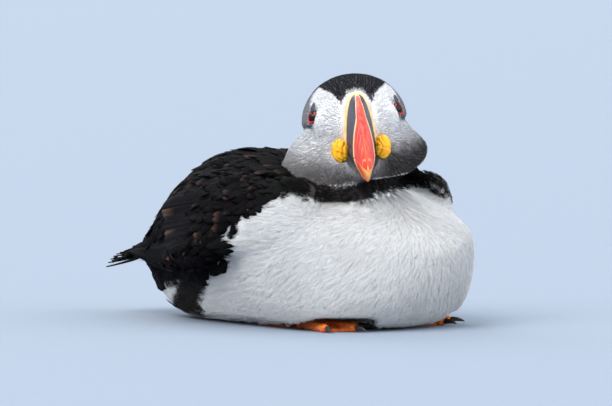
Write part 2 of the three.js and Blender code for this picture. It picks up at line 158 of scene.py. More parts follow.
class Finish:
    """A material being made: its Principled shader, and the place on the object."""

    def __init__(self, name, **constants):
        self.material = bpy.data.materials.new(name)
        self.material.use_nodes = True
        self.tree = self.material.node_tree
        self.shader = self.tree.nodes["Principled BSDF"]
        for socket, value in constants.items():
            self.shader.inputs[socket.replace("_", " ")].default_value = value
        self.place = self.node("ShaderNodeTexCoord", out="Object")

    def node(self, kind, settings=None, inputs=None, out=0):
        return Wire.node(self.tree, kind, settings, inputs, out)

    def grain(self, scale, detail=3.0, vector=None):
        """Noise between 0 and 1 with the given count of lumps to a metre."""
        inputs = {"Vector": vector or self.place, "Scale": scale, "Detail": detail, "Roughness": 0.55}
        return self.node("ShaderNodeTexNoise", inputs=inputs)

    def cloudy(self, scale, soft, low, high):
        """Patches of two colours, and the noise they follow."""
        cloud = self.grain(scale)
        return cloud, blend_colours(cloud.above(0.5, soft), low, high)

    def stretched(self, vector, scale):
        return self.node("ShaderNodeMapping", inputs={"Vector": vector, "Scale": scale})

    def attribute(self, name, out="Color"):
        return self.node("ShaderNodeAttribute", {"attribute_name": name}, out=out)

    def parts(self, vector):
        """The three numbers of a vector."""
        split = self.node("ShaderNodeSeparateXYZ", inputs={0: vector})
        return [Wire(self.tree, socket) for socket in split.socket.node.outputs]

    def done(self, base, rough=None, height=None, distance=0.0, strength=1.0):
        """Plugs in the colour, roughness and height, and gives the finished material."""
        plugs = {"Base Color": base, "Roughness": rough}
        if height is not None:
            relief = {"Height": height, "Distance": distance, "Strength": strength}
            plugs["Normal"] = self.node("ShaderNodeBump", inputs=relief)
        for socket, wire in plugs.items():
            if wire is not None:
                self.tree.links.new(wire.socket, self.shader.inputs[socket])
        return self.material


print("shader helper ready")

# %% [markdown]
# ## Floor and light
# A bird on plain paper in a bright studio: one pale floor without an edge in sight, a
# large soft lamp above and beside the camera, weaker ones on the other side and behind, and a
# bright room. The floor is a disc so wide that its rim lies above the top of the view.

# %% Floor and light
FLOOR_RADIUS = 40.0
ROOM_COLOUR = (0.86, 0.92, 1.0, 1)
ROOM_STRENGTH = 1.05
# Each lamp: its place seen from the bird (towards the camera, to the right, up), its width in
# degrees, its strength and its colour.
LAMPS = {
    "key_lamp": ((1.0, -0.8, 1.3), 45, 3.5, (1, 0.985, 0.96)),
    "side_lamp": ((0.7, 1.4, 0.7), 60, 1.6, (0.96, 0.98, 1)),
    "back_lamp": ((-1.2, -0.6, 1.2), 40, 1.1, (0.90, 0.95, 1)),
}

bm = bmesh.new()
bmesh.ops.create_circle(bm, cap_ends=True, segments=96, radius=FLOOR_RADIUS)
floor_mesh = bpy.data.meshes.new("floor")
bm.to_mesh(floor_mesh)
bm.free()
floor = bpy.data.objects.new("floor", floor_mesh)
bpy.context.scene.collection.objects.link(floor)

finish = Finish("pale_floor", Roughness=0.85)
paper = blend_colours(finish.grain(220.0), srgb(128, 139, 154), srgb(134, 145, 160))
floor_mesh.materials.append(finish.done(paper))

# The lamps are so far away that they light the whole floor alike.
for name, ((near, right, up), width, strength, colour) in LAMPS.items():
    lamp_data = bpy.data.lights.new(name, "SUN")
    lamp_data.angle = math.radians(width)
    lamp_data.energy = strength
    lamp_data.color = colour
    lamp = bpy.data.objects.new(name, lamp_data)
    towards = view_back * near + view_right * right + Vector((0, 0, up))
    lamp.rotation_euler = towards.to_track_quat("Z", "Y").to_euler()
    bpy.context.scene.collection.objects.link(lamp)

world = bpy.data.worlds.new("studio")
world.use_nodes = True
room = world.node_tree.nodes["Background"]
room.inputs["Color"].default_value = ROOM_COLOUR
room.inputs["Strength"].default_value = ROOM_STRENGTH
bpy.context.scene.world = world
bpy.context.scene.view_settings.view_transform = "Standard"
print("lamps:", len(bpy.data.lights))

# %% [markdown]
# ## Working frames
# The head is turned and tilted on the body. Its pieces are easier to describe facing straight
# ahead (towards -Y), so one matrix turns from the head's own frame to the bird's. Lengths are
# in millimetres until a mesh is stored.

# %% The head's own frame
HEAD_TURNS = ((-44, "Z"), (-5.5, "Y"), (8, "X"))  # to its right, then tilted, then bill down
head_turn = Matrix.Identity(3)
for degrees, axis in HEAD_TURNS:
    head_turn = head_turn @ Matrix.Rotation(math.radians(degrees), 3, axis)
TURN = np.array(head_turn)


def to_head(points):
    """Points of the bird, in mm, seen from the head's own frame."""
    return (points - HEAD_MM) @ TURN


def from_head(points):
    return points @ TURN.T + HEAD_MM


def unit(vectors):
    length = np.linalg.norm(vectors, axis=-1, keepdims=True)
    return vectors / np.maximum(length, 1e-9)


def smooth_step(low, high, values):
    t = np.clip((values - low) / (high - low), 0, 1)
    return t * t * (3 - 2 * t)


print("head frame ready")

# %% [markdown]
# ## Markings
# A puffin's colours are laid out by simple borders: a black cap that dips in two dark points
# beside the bill and has a painted highlight on its front, a white face, a grey patch behind the
# eye, cheeks that darken towards the throat (partly grey feathers, partly painted shade on the
# lower face, strongest on its left side), a black collar and back, and a white breast. One
# function of the place gives the colour, and both the skin and every feather ask it, so they
# always agree. On the head the place is told as two angles about the head's centre, as on a globe.

# %% Markings
def dye(red, green, blue):
    return np.array(srgb(red, green, blue)[:3])


WHITE = dye(243, 243, 245)
BREAST_WHITE = dye(247, 247, 246)
STAIN = dye(214, 200, 182)
CHEEK_GREY_AND_SHADE = dye(136, 132, 133)
THROAT_GREY_AND_SHADE = dye(84, 79, 77)
EYE_PATCH_GREY = dye(146, 147, 153)
CREASE_GREY = dye(58, 58, 64)
CAP_BLACK = dye(34, 33, 38)
CAP_FRONT_HIGHLIGHT = dye(80, 78, 83)
BACK_BLACK = dye(15, 13, 16)
COLLAR_BLACK = dye(30, 24, 23)
WORN_BROWN = dye(112, 82, 72)
FLANK_BROWN = dye(44, 35, 33)

# Angle round the head from the bill, and the height angle of each border there, in degrees.
CAP_EDGE = np.array([(0, 60), (14, 57), (20, 48), (22, 41), (24, 41), (30, 49), (50, 55), (85, 56),
                     (100, 54), (112, 43), (130, 5), (146, -60), (180, -88)], dtype=float)
CHEEK_FOOT = np.array([(0, -40), (57, -40), (75, -31), (115, -17), (130, -12), (180, -12)], dtype=float)
EYE_PATCH_FRONT = np.array([(8, 70), (16, 66), (24, 66), (32, 72), (46, 92), (55, 98)], dtype=float)
CREASE = np.array([(60, 14), (90, 9), (125, -4)], dtype=float)


def border_at(border, place):
    return np.interp(place, border[:, 0], border[:, 1])


def painted(colour, other, mask):
    """The colour with the other one laid over it as far as the mask says, 0 to 1."""
    mask = mask[:, None]
    return colour * (1 - mask) + other * mask


def head_angles(points):
    """Angle round from the bill (left positive) and height angle, of points in mm."""
    own = to_head(points)
    around = np.degrees(np.arctan2(own[:, 0], -own[:, 1]))
    height = np.degrees(np.arctan2(own[:, 2], np.hypot(own[:, 0], own[:, 1])))
    return own, around, height


def lumps(points, size, seed=0.0):
    """Smooth noise from -1 to 1 whose lumps are about size mm."""
    out = np.empty(len(points))
    for i, p in enumerate(points / size + seed):
        out[i] = noise.noise(Vector(p))
    return out * 1.6


def head_colour(points):
    """Grey cheeks and throat, partly painted shade, the patch and crease behind the eye, a white rim
    and a black cap with a painted highlight on its front.
    """
    own, around, height = head_angles(points)
    side = np.abs(around)
    wander = lumps(points, 3.0) * 0.9
    foot = border_at(CHEEK_FOOT, side)
    crease = border_at(CREASE, side)

    # The grey of cheeks and throat is partly the feathers' own grey and partly painted shade on the lower
    # face; left_shade is painted shade on the bird's left lower cheek alone.
    cheek_shade_and_grey = smooth_step(7, -18, own[:, 2] + wander)
    throat_shade_and_grey = smooth_step(-11, -19, own[:, 2] + 2.4 * lumps(points, 2.2, 7.0))
    throat_shade_and_grey = throat_shade_and_grey * smooth_step(-14, -6, -np.abs(own[:, 0] + 3)) * 0.75
    left_shade = smooth_step(1, -10, own[:, 2] + 1.5 * lumps(points, 2.2, 5.0))
    left_shade = left_shade * smooth_step(3, 12, own[:, 0])
    colour = painted(WHITE, CHEEK_GREY_AND_SHADE, cheek_shade_and_grey)
    colour = painted(colour, THROAT_GREY_AND_SHADE, throat_shade_and_grey)
    colour = painted(colour, 0.6 * THROAT_GREY_AND_SHADE, left_shade)

    behind = smooth_step(-1.6, 1.6, side - border_at(EYE_PATCH_FRONT, height))
    colour = painted(colour, EYE_PATCH_GREY, behind * smooth_step(-1.2, 1.2, height - crease))
    line = np.exp(-(((height - crease) / 1.1) ** 2)) * smooth_step(62, 68, side) * smooth_step(130, 112, side)
    colour = painted(colour, CREASE_GREY, line * 0.8)
    halo = smooth_step(24, 18, side) * smooth_step(24, 36, height)
    colour = colour * (1 - 0.28 * halo[:, None])

    rim = smooth_step(3.6, 2.4, height - foot) * smooth_step(4, 14, side) * (side < 104)
    colour = painted(colour, WHITE, rim)
    # The front of the cap is painted lighter: a painted highlight.
    front_highlight = smooth_step(14, -4, own[:, 1] + 22) * smooth_step(30, 12, side)
    cap = smooth_step(-0.9, 0.9, height - border_at(CAP_EDGE, side) + 0.5 * wander)
    colour = painted(colour, painted(CAP_BLACK, CAP_FRONT_HIGHLIGHT, front_highlight), cap)
    return painted(colour, COLLAR_BLACK, smooth_step(0.3, -0.5, height - foot))


# Distance back along the body (Y) and the height of the white underside's upper border, in mm.
# It rises to a point in front of each wing, drops steeply behind it and sinks towards the tail.
WHITE_EDGE_REAR = [(-12, 49), (-6, 43), (-4, 35), (10, 28), (25, 21), (58, 17), (92, 14), (120, 4)]
WHITE_EDGE_RIGHT = np.array([(-80, 58), (-46, 57), (-34, 60), (-28, 56)] + WHITE_EDGE_REAR, dtype=float)
WHITE_EDGE_LEFT = np.array([(-80, 46), (-46, 49), (-31, 59), (-25, 58)] + WHITE_EDGE_REAR, dtype=float)
# Across the breast (X) and the height of the collar's lower border, in mm.
COLLAR_EDGE = np.array([(-60, 62), (-43, 58), (-30, 55), (-18, 55), (3, 60), (20, 61), (60, 56)],
                       dtype=float)


def body_colour(points):
    """A white underside with a brown flank, under a black back and collar with worn feathers."""
    x, y, z = points.T
    ragged = lumps(points, 4.0, 3.0) * 1.5
    edge_side = np.where(x < 0, border_at(WHITE_EDGE_RIGHT, y), border_at(WHITE_EDGE_LEFT, y))
    frontness = smooth_step(-22, -36, y) * smooth_step(40, 30, x)
    edge = edge_side * (1 - frontness) + border_at(COLLAR_EDGE, x) * frontness
    dark = smooth_step(-0.7, 0.7, z - edge + 0.7 * ragged)

    worn = smooth_step(0.35, 0.8, lumps(points, 9.0, 11.0)) * 0.75 * smooth_step(-35, 0, y)
    back = painted(BACK_BLACK, WORN_BROWN * 0.55, worn)
    back = painted(back, COLLAR_BLACK, smooth_step(-10, -24, y))

    stain = smooth_step(0.1, 1.0, lumps(points, 14.0, 5.0)) * 0.10
    under = painted(BREAST_WHITE, STAIN, stain)
    flank = smooth_step(30, 35, y + 1.1 * (z - 12) + ragged) * smooth_step(61, 56, y + 1.3 * (z - 12))
    under = painted(under, FLANK_BROWN, flank * smooth_step(-2, 3, z))
    return painted(under, back, dark)


def markings(points, on_head):
    """Colour of each point in mm; on_head is 1 where the point belongs to the head."""
    return painted(body_colour(points), head_colour(points), on_head)


print("cap border:", len(CAP_EDGE), "points; white border:", len(WHITE_EDGE_RIGHT), "points")

# %% [markdown]
# ## Skin
# Under its feathers a bird has one continuous skin. Trunk, neck, head, wings and tail are
# separate solids with hairline gaps, so copies of them are swollen by half a millimetre until
# they meet, joined, and remeshed in small voxels to one closed surface. It is smoothed and
# then sunk by the depth of the coat, so that the feathers fill the solids' outline.

# %% One skin
FLESH = ("trunk", "neck", "head", "tail", "wing_left", "wing_right")
SWELL = 0.5
VOXEL = 1.25
SKIN_SMOOTHING = 5


def merged_copy(bm, node, swell):
    """Adds a node's mesh to the bmesh with its loose triangles merged, swollen along its normals."""
    part = bmesh.new()
    part.from_mesh(nodes[node].data)
    bmesh.ops.remove_doubles(part, verts=part.verts, dist=0.00001)
    part.normal_update()
    shifts = [v.normal * swell * MM for v in part.verts]
    for v, shift in zip(part.verts, shifts):
        v.co += shift
    made = bpy.data.meshes.new("part")
    part.to_mesh(made)
    part.free()
    bm.from_mesh(made)
    bpy.data.meshes.remove(made)


def link(name, mesh):
    obj = bpy.data.objects.new(name, mesh)
    bpy.context.scene.collection.objects.link(obj)
    return obj


def store_mesh(bm, mesh):
    """Writes the bmesh into the mesh, smooth, and frees it."""
    bm.to_mesh(mesh)
    bm.free()
    for polygon in mesh.polygons:
        polygon.use_smooth = True


def hand_over(piece, material, slot, *replaced):
    """Gives a piece its material, and tells the frame what carries it and what it replaces."""
    piece.data.materials.append(material)
    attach(piece, "root")
    if replaced:
        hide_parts(*replaced)


def new_piece(name, bm, material, slot, *replaced):
    """Stores a bmesh as a finished piece."""
    bmesh.ops.recalc_face_normals(bm, faces=bm.faces)
    mesh = bpy.data.meshes.new(name)
    store_mesh(bm, mesh)
    hand_over(link(name, mesh), material, slot, *replaced)
    print(name, "faces:", len(mesh.polygons))


def voxel_skin(name, node_names, swell, voxel, smoothing):
    """One closed mesh round copies of the nodes, remeshed in voxels and smoothed."""
    bm = bmesh.new()
    for node in node_names:
        merged_copy(bm, node, swell)
    rough = bpy.data.meshes.new(name + "_rough")
    bm.to_mesh(rough)
    bm.free()
    holder = link(name + "_rough", rough)
    remesh = holder.modifiers.new("remesh", "REMESH")
    remesh.mode = "VOXEL"
    remesh.voxel_size = voxel * MM
    evaluated = holder.evaluated_get(bpy.context.evaluated_depsgraph_get())
    mesh = bpy.data.meshes.new_from_object(evaluated)
    mesh.name = name
    bpy.data.objects.remove(holder)
    bpy.data.meshes.remove(rough)
    bm = bmesh.new()
    bm.from_mesh(mesh)
    for _ in range(smoothing):
        bmesh.ops.smooth_vert(bm, verts=bm.verts, factor=0.5,
                              use_axis_x=True, use_axis_y=True, use_axis_z=True)
    store_mesh(bm, mesh)
    return link(name, mesh)


skin = voxel_skin("skin", FLESH, SWELL, VOXEL, SKIN_SMOOTHING)
print("skin:", len(skin.data.vertices), "points")

# %% [markdown]
# Each skin point belongs to the solid it lies nearest to. The part decides how deep the coat
# is there, which feathers grow, and which way they lie.

# %% Which part each skin point belongs to
def mesh_arrays(mesh):
    points = np.empty(len(mesh.vertices) * 3)
    mesh.vertices.foreach_get("co", points)
    normals = np.empty(len(mesh.vertices) * 3)
    mesh.vertices.foreach_get("normal", normals)
    return points.reshape(-1, 3) / MM, normals.reshape(-1, 3)


def moved_points(mesh, points):
    """Moves a mesh's points to new places in mm, and gives its arrays again."""
    mesh.vertices.foreach_set("co", (points * MM).ravel())
    mesh.update()
    return mesh_arrays(mesh)


def surface_tree(mesh):
    corners = [v.co.copy() for v in mesh.vertices]
    return BVHTree.FromPolygons(corners, [tuple(p.vertices) for p in mesh.polygons])


skin_points, skin_normals = mesh_arrays(skin.data)
edges = np.empty(len(skin.data.edges) * 2, dtype=int)
skin.data.edges.foreach_get("vertices", edges)
edges = edges.reshape(-1, 2)
neighbours = np.bincount(edges.ravel(), minlength=len(skin_points))[:, None]


def spread(values, rounds, where=1.0):
    """Averages values over the skin's edges, round by round, as much as where says (0 to 1)."""
    for _ in range(rounds):
        total = np.zeros_like(values)
        np.add.at(total, edges[:, 0], values[edges[:, 1]])
        np.add.at(total, edges[:, 1], values[edges[:, 0]])
        values = values + where * (total / neighbours - values) / 2
    return values


# The breast's coat runs over the front of the folded wing, so the step between them is filled
# by many rounds of averaging there, and by a few more everywhere.
x, y, z = skin_points.T
step_here = smooth_step(3, -2, z - border_at(WHITE_EDGE_RIGHT, y)) * smooth_step(5, 12, z)
step_here = step_here * smooth_step(26, 12, y)
step_here = step_here * smooth_step(-62, -50, y) * smooth_step(30, 38, np.abs(x))
skin_points = spread(skin_points, 90, step_here[:, None])
skin_points, skin_normals = moved_points(skin.data, spread(skin_points, 7))
distances = []
for node in FLESH:
    node_tree = surface_tree(nodes[node].data)
    distances.append([node_tree.find_nearest(p)[3] for p in (skin_points * MM).tolist()])
skin_part = np.argmin(np.array(distances), axis=0)
TRUNK, NECK, HEAD, TAIL, WING_LEFT, WING_RIGHT = range(6)
print({name: int((skin_part == i).sum()) for i, name in enumerate(FLESH)})

# %% [markdown]
# A bird without feathers is much thinner than with them. The skin is sunk by a depth that
# changes slowly from part to part, deepest on the breast and least on the face. Before the
# feathers grow it also gets the forms that show through them: the crease behind the eye, the
# swelling ahead of it, and the lower edge of the cheek, which overhangs the collar.

# %% Sink the skin by the coat's depth
COAT_DEPTH = np.array((1.9, 1.5, 0.6, 0.9, 1.2, 1.2))  # in the order of FLESH, in mm
FLOOR_GAP = 0.25
CREASE_DEPTH = 1.3
OVERHANG = 1.1
TUCK = 1.4
LORE_PLACE = (17.0, -15.2, 9.5)
LORE_RADII = (4.2, 3.4, 6.2)
LORE_RISE = 2.3

depth = spread((COAT_DEPTH + SWELL)[skin_part][:, None], 12)
own, around, height = head_angles(skin_points)
side = np.abs(around)
crease_gap = np.radians(height - border_at(CREASE, side)) * 22.0
in_crease = np.exp(-((crease_gap / 1.1) ** 2)) * smooth_step(62, 70, side) * smooth_step(128, 110, side)
in_crease = in_crease * (skin_part == HEAD)
depth = depth + CREASE_DEPTH * in_crease[:, None]

head_owned = skin_part == HEAD
edge_gap = height - border_at(CHEEK_FOOT, side)
overhang = smooth_step(-1.5, 1.0, edge_gap) * smooth_step(16, 4, edge_gap) * smooth_step(125, 105, side)
tuck = smooth_step(-12, -5, edge_gap) * smooth_step(0, -3, edge_gap) * smooth_step(125, 105, side)
rise = OVERHANG * overhang * head_owned - TUCK * tuck * (skin_part == NECK)
depth = depth - spread(rise[:, None], 2)
for hand in (-1, 1):
    lore = np.linalg.norm((own * (hand, 1, 1) - LORE_PLACE) / LORE_RADII, axis=1)
    depth = depth - LORE_RISE * np.exp(-(lore ** 2))[:, None]
skin_points = skin_points - skin_normals * depth
skin_points[:, 2] = np.maximum(skin_points[:, 2], FLOOR_GAP)
skin_points, skin_normals = moved_points(skin.data, skin_points)
print("mean coat depth:", round(float(depth.mean()) - SWELL, 2), "mm")

# %% [markdown]
# ## The lie of the coat
# Feathers point away from the bill: back over the crown, down the throat, down the breast and
# then back along the belly, wings and tail. A direction is worked out for each skin point from
# where it lies, laid flat on the skin, and averaged with its neighbours so that no seam shows.

# %% The lie of the coat
BILL_ROOT = np.array((0.0, -24.0, 2.0))
BREAST_SOURCE = np.array((0.0, -36.0, 74.0))
# How much the feathers of each part also lie back (Y) and down (-Z).
HEAD_LEAN = (0, 0.45, -0.25)
TRUNK_LEAN = (0, 0.75, -0.05)
NECK_LEAN = (0, 0.5, -0.2)
WING_LEAN = (0.0, 1.0, -0.22)
TAIL_LEAN = (0.0, 1.0, -0.1)
TAIL_FAN = 0.012

from_bill = unit(to_head(skin_points) - BILL_ROOT) + HEAD_LEAN
lie_head = from_bill @ TURN.T
lie_trunk = unit(skin_points - BREAST_SOURCE) + TRUNK_LEAN
lie_neck = unit(skin_points - HEAD_MM) + NECK_LEAN
lie_wing = np.zeros_like(skin_points) + WING_LEAN
lie_tail = np.zeros_like(skin_points) + TAIL_LEAN
lie_tail[:, 0] = skin_points[:, 0] * TAIL_FAN
lies = np.stack((lie_trunk, lie_neck, lie_head, lie_tail, lie_wing, lie_wing))
lie = lies[skin_part, np.arange(len(skin_points))]


def laid_flat(vectors, normals):
    return unit(vectors - normals * (vectors * normals).sum(axis=1, keepdims=True))


lie = laid_flat(lie, skin_normals)
for _ in range(5):
    lie = laid_flat(spread(lie, 4), skin_normals)
head_share = spread(head_owned.astype(float)[:, None], 2)[:, 0]
print("lie of the coat worked out for", len(lie), "points")

# %% [markdown]
# ## Skin finish and its unwrap
# The unwrap is a flat pattern of the skin's own shape. Feathers later borrow the place of
# their root on it, so that a baked picture keeps each feather's colour at its own spot.

# %% Unwrap and colour the skin
bpy.context.view_layer.objects.active = skin
skin.select_set(True)
bpy.ops.object.mode_set(mode="EDIT")
bpy.ops.mesh.select_all(action="SELECT")
bpy.ops.uv.smart_project(angle_limit=math.radians(70), island_margin=0.002)
bpy.ops.object.mode_set(mode="OBJECT")
skin.data.uv_layers[0].name = "OFBake"


def store_tint(mesh, colours):
    layer = mesh.color_attributes.new("tint", "FLOAT_COLOR", "POINT")
    rgba = np.ones((len(mesh.vertices), 4))
    rgba[:, :3] = colours
    layer.data.foreach_set("color", rgba.ravel())


SKIN_SHADE = 0.92
store_tint(skin.data, markings(skin_points, head_share) * SKIN_SHADE)

finish = Finish("skin_under_coat", Roughness=0.85)
pores = finish.grain(900.0)
shade = scale_colour(finish.attribute("tint"), 0.8 + 0.3 * pores)
material = finish.done(shade, height=pores + 0.5 * finish.grain(3200.0), distance=0.0006)
hand_over(skin, material, "white_plumage", *FLESH)
skin_tree = surface_tree(skin.data)
print("skin faces:", len(skin.data.polygons))

# %% [markdown]
# ## Feather patterns
# The coat is many copies of a few small patterns, laid out with arrays because an operator per
# feather would take hours. A pattern is told in its own units: across (-1 to 1 of the half
# width), along (0 at the root, 1 at the tip) and height in mm. A plume is a spray of thin
# three-sided barbs, and a vane is a closed, slightly arched blade with a ragged tip.

# %% Feather patterns
RANDOM = np.random.default_rng(417)


class Pattern:
    """A small closed mesh in feather units: points, and faces as lists of corners."""

    def __init__(self):
        self.points = []
        self.faces = []

    def barb(self, stations, radius, thick):
        """A three-sided barb through stations (across, along, height), ending in a point."""
        start = len(self.points)
        for i, (across, along, rise) in enumerate(stations[:-1]):
            slim = 1 - 0.35 * i / len(stations)
            self.points.append((across - radius * slim, along, rise))
            self.points.append((across + radius * slim, along, rise))
            self.points.append((across, along, rise + thick * slim))
        self.points.append(stations[-1])
        rings = len(stations) - 1
        for ring in range(rings - 1):
            a = start + 3 * ring
            for i, j in ((0, 2), (2, 1), (1, 0)):
                self.faces.append((a + i, a + 3 + i, a + 3 + j, a + j))
        a = start + 3 * (rings - 1)
        tip = start + 3 * rings
        for i, j in ((0, 2), (2, 1), (1, 0)):
            self.faces.append((a + i, tip, a + j))
        self.faces.append((start, start + 2, start + 1))

    def blade(self, outline, columns, thick, arch, left_share=1.0):
        """A closed blade; outline holds (along, half width), and the sides share their rim."""
        rows = len(outline)
        across = np.linspace(-1, 1, columns)
        top = np.empty((rows, columns), dtype=int)
        low = np.empty((rows, columns), dtype=int)
        for r, (along, half) in enumerate(outline):
            for c, w in enumerate(across):
                reach = w * half * (left_share if w < 0 else 1.0)
                rise = arch * (1 - w * w)
                top[r, c] = len(self.points)
                self.points.append((reach, along - 0.05 * abs(w) * (1 - along), rise))
                low[r, c] = top[r, c]
        for r in range(1, rows - 1):
            for c in range(1, columns - 1):
                low[r, c] = len(self.points)
                across_place, along_place, rise = self.points[top[r, c]]
                self.points.append((across_place, along_place, rise - thick))
        for r in range(rows - 1):
            for c in range(columns - 1):
                a, b = top[r, c], top[r, c + 1]
                d, e = top[r + 1, c], top[r + 1, c + 1]
                self.faces.append((a, b, e, d))
                self.faces.append((low[r, c], low[r + 1, c], low[r + 1, c + 1], low[r, c + 1]))

    def arrays(self):
        points = np.array(self.points, dtype=float)
        corners = np.concatenate([np.array(face) for face in self.faces])
        counts = np.array([len(face) for face in self.faces])
        return points, corners, counts


def plume(barbs, spread_out, radius, thick, loft, bends=True):
    """A spray of barbs that leave the middle line one after another and fan out."""
    pattern = Pattern()
    for i in range(barbs):
        share = (i + 0.5) / barbs
        hand = -1 if i % 2 else 1
        leave = 0.02 + 0.42 * share * RANDOM.uniform(0.7, 1.1)
        reach = hand * spread_out * (1 - share ** 2.2) * RANDOM.uniform(0.75, 1.1)
        end = min(1.0, leave + RANDOM.uniform(0.38, 0.62))
        rise = loft * RANDOM.uniform(0.2, 1.0)
        stations = [(reach * 0.08, leave, 0.0)]
        if bends:
            stations.append((reach * 0.62, (leave + end) / 2, rise * 0.8))
        stations.append((reach, end, rise))
        pattern.barb(stations, radius, thick)
    return pattern.arrays()


def vane(rows, columns, widest, point, thick, arch, frays, left_share=1.0):
    """A rounded blade; widest tells where along it is broadest, point how sharp its tip is."""
    pattern = Pattern()
    outline = []
    for along in np.linspace(0, 1, rows):
        swell = math.sin(math.pi * min(1, 0.12 + 0.88 * along ** widest))
        half = max(0.0, swell) ** point
        if 0 < along < 0.999:
            half *= RANDOM.uniform(0.86, 1.04)
        outline.append((float(along), float(half) if along < 0.999 else 0.04))
    outline[0] = (0.0, 0.12)
    pattern.blade(outline, columns, thick, arch, left_share)
    for i in range(frays):
        across = RANDOM.uniform(-0.75, 0.75)
        leave = 0.82 - 0.35 * across * across
        end = leave + RANDOM.uniform(0.14, 0.24)
        pattern.barb([(across * 0.9, leave, arch * 0.5), (across * 1.08, end, arch * 0.4)], 0.05, 0.05)
    return pattern.arrays()


FACE_PLUMES = [plume(barbs=8, spread_out=0.95, radius=0.10, thick=0.045, loft=0.08, bends=False)
               for _ in range(8)]
BREAST_PLUMES = [plume(barbs=15, spread_out=1.0, radius=0.052, thick=0.035, loft=0.15)
                 for _ in range(10)]
COLLAR_PLUMES = [plume(barbs=9, spread_out=0.95, radius=0.06, thick=0.13, loft=0.7)
                 for _ in range(6)]
BACK_VANES = [vane(rows=7, columns=5, widest=1.3, point=0.75, thick=0.14, arch=0.22, frays=9)
              for _ in range(8)]
LONG_VANES = [vane(rows=18, columns=7, widest=1.1, point=0.38, thick=0.22, arch=0.5, frays=8,
                   left_share=0.72) for _ in range(4)]
for patterns in (FACE_PLUMES, BREAST_PLUMES, COLLAR_PLUMES, BACK_VANES, LONG_VANES):
    print("triangles of a feather:", int((patterns[0][2] - 2).sum()))

# %% [markdown]
# ## Where feathers grow
# Roots are scattered over the skin's faces and thinned until no two are closer than a set
# spacing, as in a real skin, where feather pits are evenly spread. Each root keeps its normal,
# the lie of the coat, and its place on the unwrap.

# %% Roots
TRIES_PER_FACE = 6

quads = np.array([tuple(p.vertices) for p in skin.data.polygons if len(p.vertices) == 4])
quad_loops = np.array([tuple(p.loop_indices) for p in skin.data.polygons if len(p.vertices) == 4])
skin_uv = np.empty(len(skin.data.loops) * 2)
skin.data.uv_layers["OFBake"].data.foreach_get("uv", skin_uv)
skin_uv = skin_uv.reshape(-1, 2)

pick = np.repeat(np.arange(len(quads)), TRIES_PER_FACE)
RANDOM.shuffle(pick)
u, v = RANDOM.random((2, len(pick)))
weights = np.stack(((1 - u) * (1 - v), u * (1 - v), u * v, (1 - u) * v), axis=1)[:, :, None]


def on_faces(values):
    """Values of the skin's points, read at the scattered places."""
    return (values[quads[pick]] * weights).sum(axis=1)


root_point = on_faces(skin_points)
root_normal = unit(on_faces(skin_normals))
root_lie = laid_flat(on_faces(lie), root_normal)
root_head = on_faces(head_share[:, None])[:, 0]
root_uv = (skin_uv[quad_loops[pick]] * weights).sum(axis=1)
root_part = skin_part[quads[pick, 0]]
root_tint = markings(root_point, (root_head > 0.5).astype(float))
root_light = root_tint.sum(axis=1) / 3
root_own, root_around, root_height = head_angles(root_point)
print("candidate roots:", len(root_point))


def thinned(chosen, spacing):
    """Numbers of the chosen roots that keep at least the spacing from each other."""
    taken = {}
    kept = []
    for index in np.flatnonzero(chosen):
        p = root_point[index]
        cell = tuple((p // spacing).astype(int))
        crowded = False
        for i in (-1, 0, 1):
            for j in (-1, 0, 1):
                for k in (-1, 0, 1):
                    for other in taken.get((cell[0] + i, cell[1] + j, cell[2] + k), ()):
                        gap = root_point[other] - p
                        if gap @ gap < spacing * spacing:
                            crowded = True
        if not crowded:
            taken.setdefault(cell, []).append(index)
            kept.append(index)
    return np.array(kept, dtype=int)


# %% [markdown]
# ## Laying feathers down
# A feather's middle line starts at its root and is pressed on the skin at its middle and tip,
# with a little lift, so that it follows the body instead of sticking out straight. The pattern
# is then bent along that line. Each copy also gets its patch on the unwrap and its own tint.

# %% Laying feathers down
PATCH = 0.003  # a feather's share of the unwrap
FLOOR_CLEARANCE = 0.15
CURL = 0.012
# How dark each feather is painted at its root: painted shade from the feathers lying over it.
ROOT_SHADE_TONE = 0.62
TIP_START = 0.62


def press_on_skin(points, lift):
    """Moves points to the skin and lifts them by lift mm; gives the points and the normals there."""
    found = [skin_tree.find_nearest(p) for p in (points * MM).tolist()]
    on_skin = np.array([tuple(hit[0]) for hit in found]) / MM
    normals = np.array([tuple(hit[1]) for hit in found])
    return on_skin + normals * lift[:, None], normals


def middle_lines(index, length, lifts, turn):
    """Three points of each feather's middle line, and the skin's normal at each."""
    normal = root_normal[index]
    ahead = root_lie[index]
    aside = np.cross(normal, ahead)
    ahead = unit(ahead + aside * turn[:, None])
    first = root_point[index] + normal * lifts[0][:, None]
    middle, middle_normal = press_on_skin(root_point[index] + ahead * length[:, None] / 2, lifts[1])
    onward = laid_flat(middle - first, middle_normal)
    last, last_normal = press_on_skin(middle + onward * length[:, None] / 2, lifts[2])
    return np.stack((first, middle, last), axis=1), np.stack((normal, middle_normal, last_normal), axis=1)


def along_line(values, share):
    """Values given at evenly spaced stations of a line, read smoothly at each share of it."""
    count = values.shape[1]
    place = np.clip(share * (count - 1), 0, count - 1.0001)
    low = place.astype(int)
    t = (place - low)[None, :, None]
    before = values[:, np.maximum(low - 1, 0)]
    start = values[:, low]
    end = values[:, low + 1]
    after = values[:, np.minimum(low + 2, count - 1)]
    bent = 2 * start + (end - before) * t
    bent = bent + (2 * before - 5 * start + 4 * end - after) * t * t
    return (bent + (3 * start - before - 3 * end + after) * t * t * t) / 2


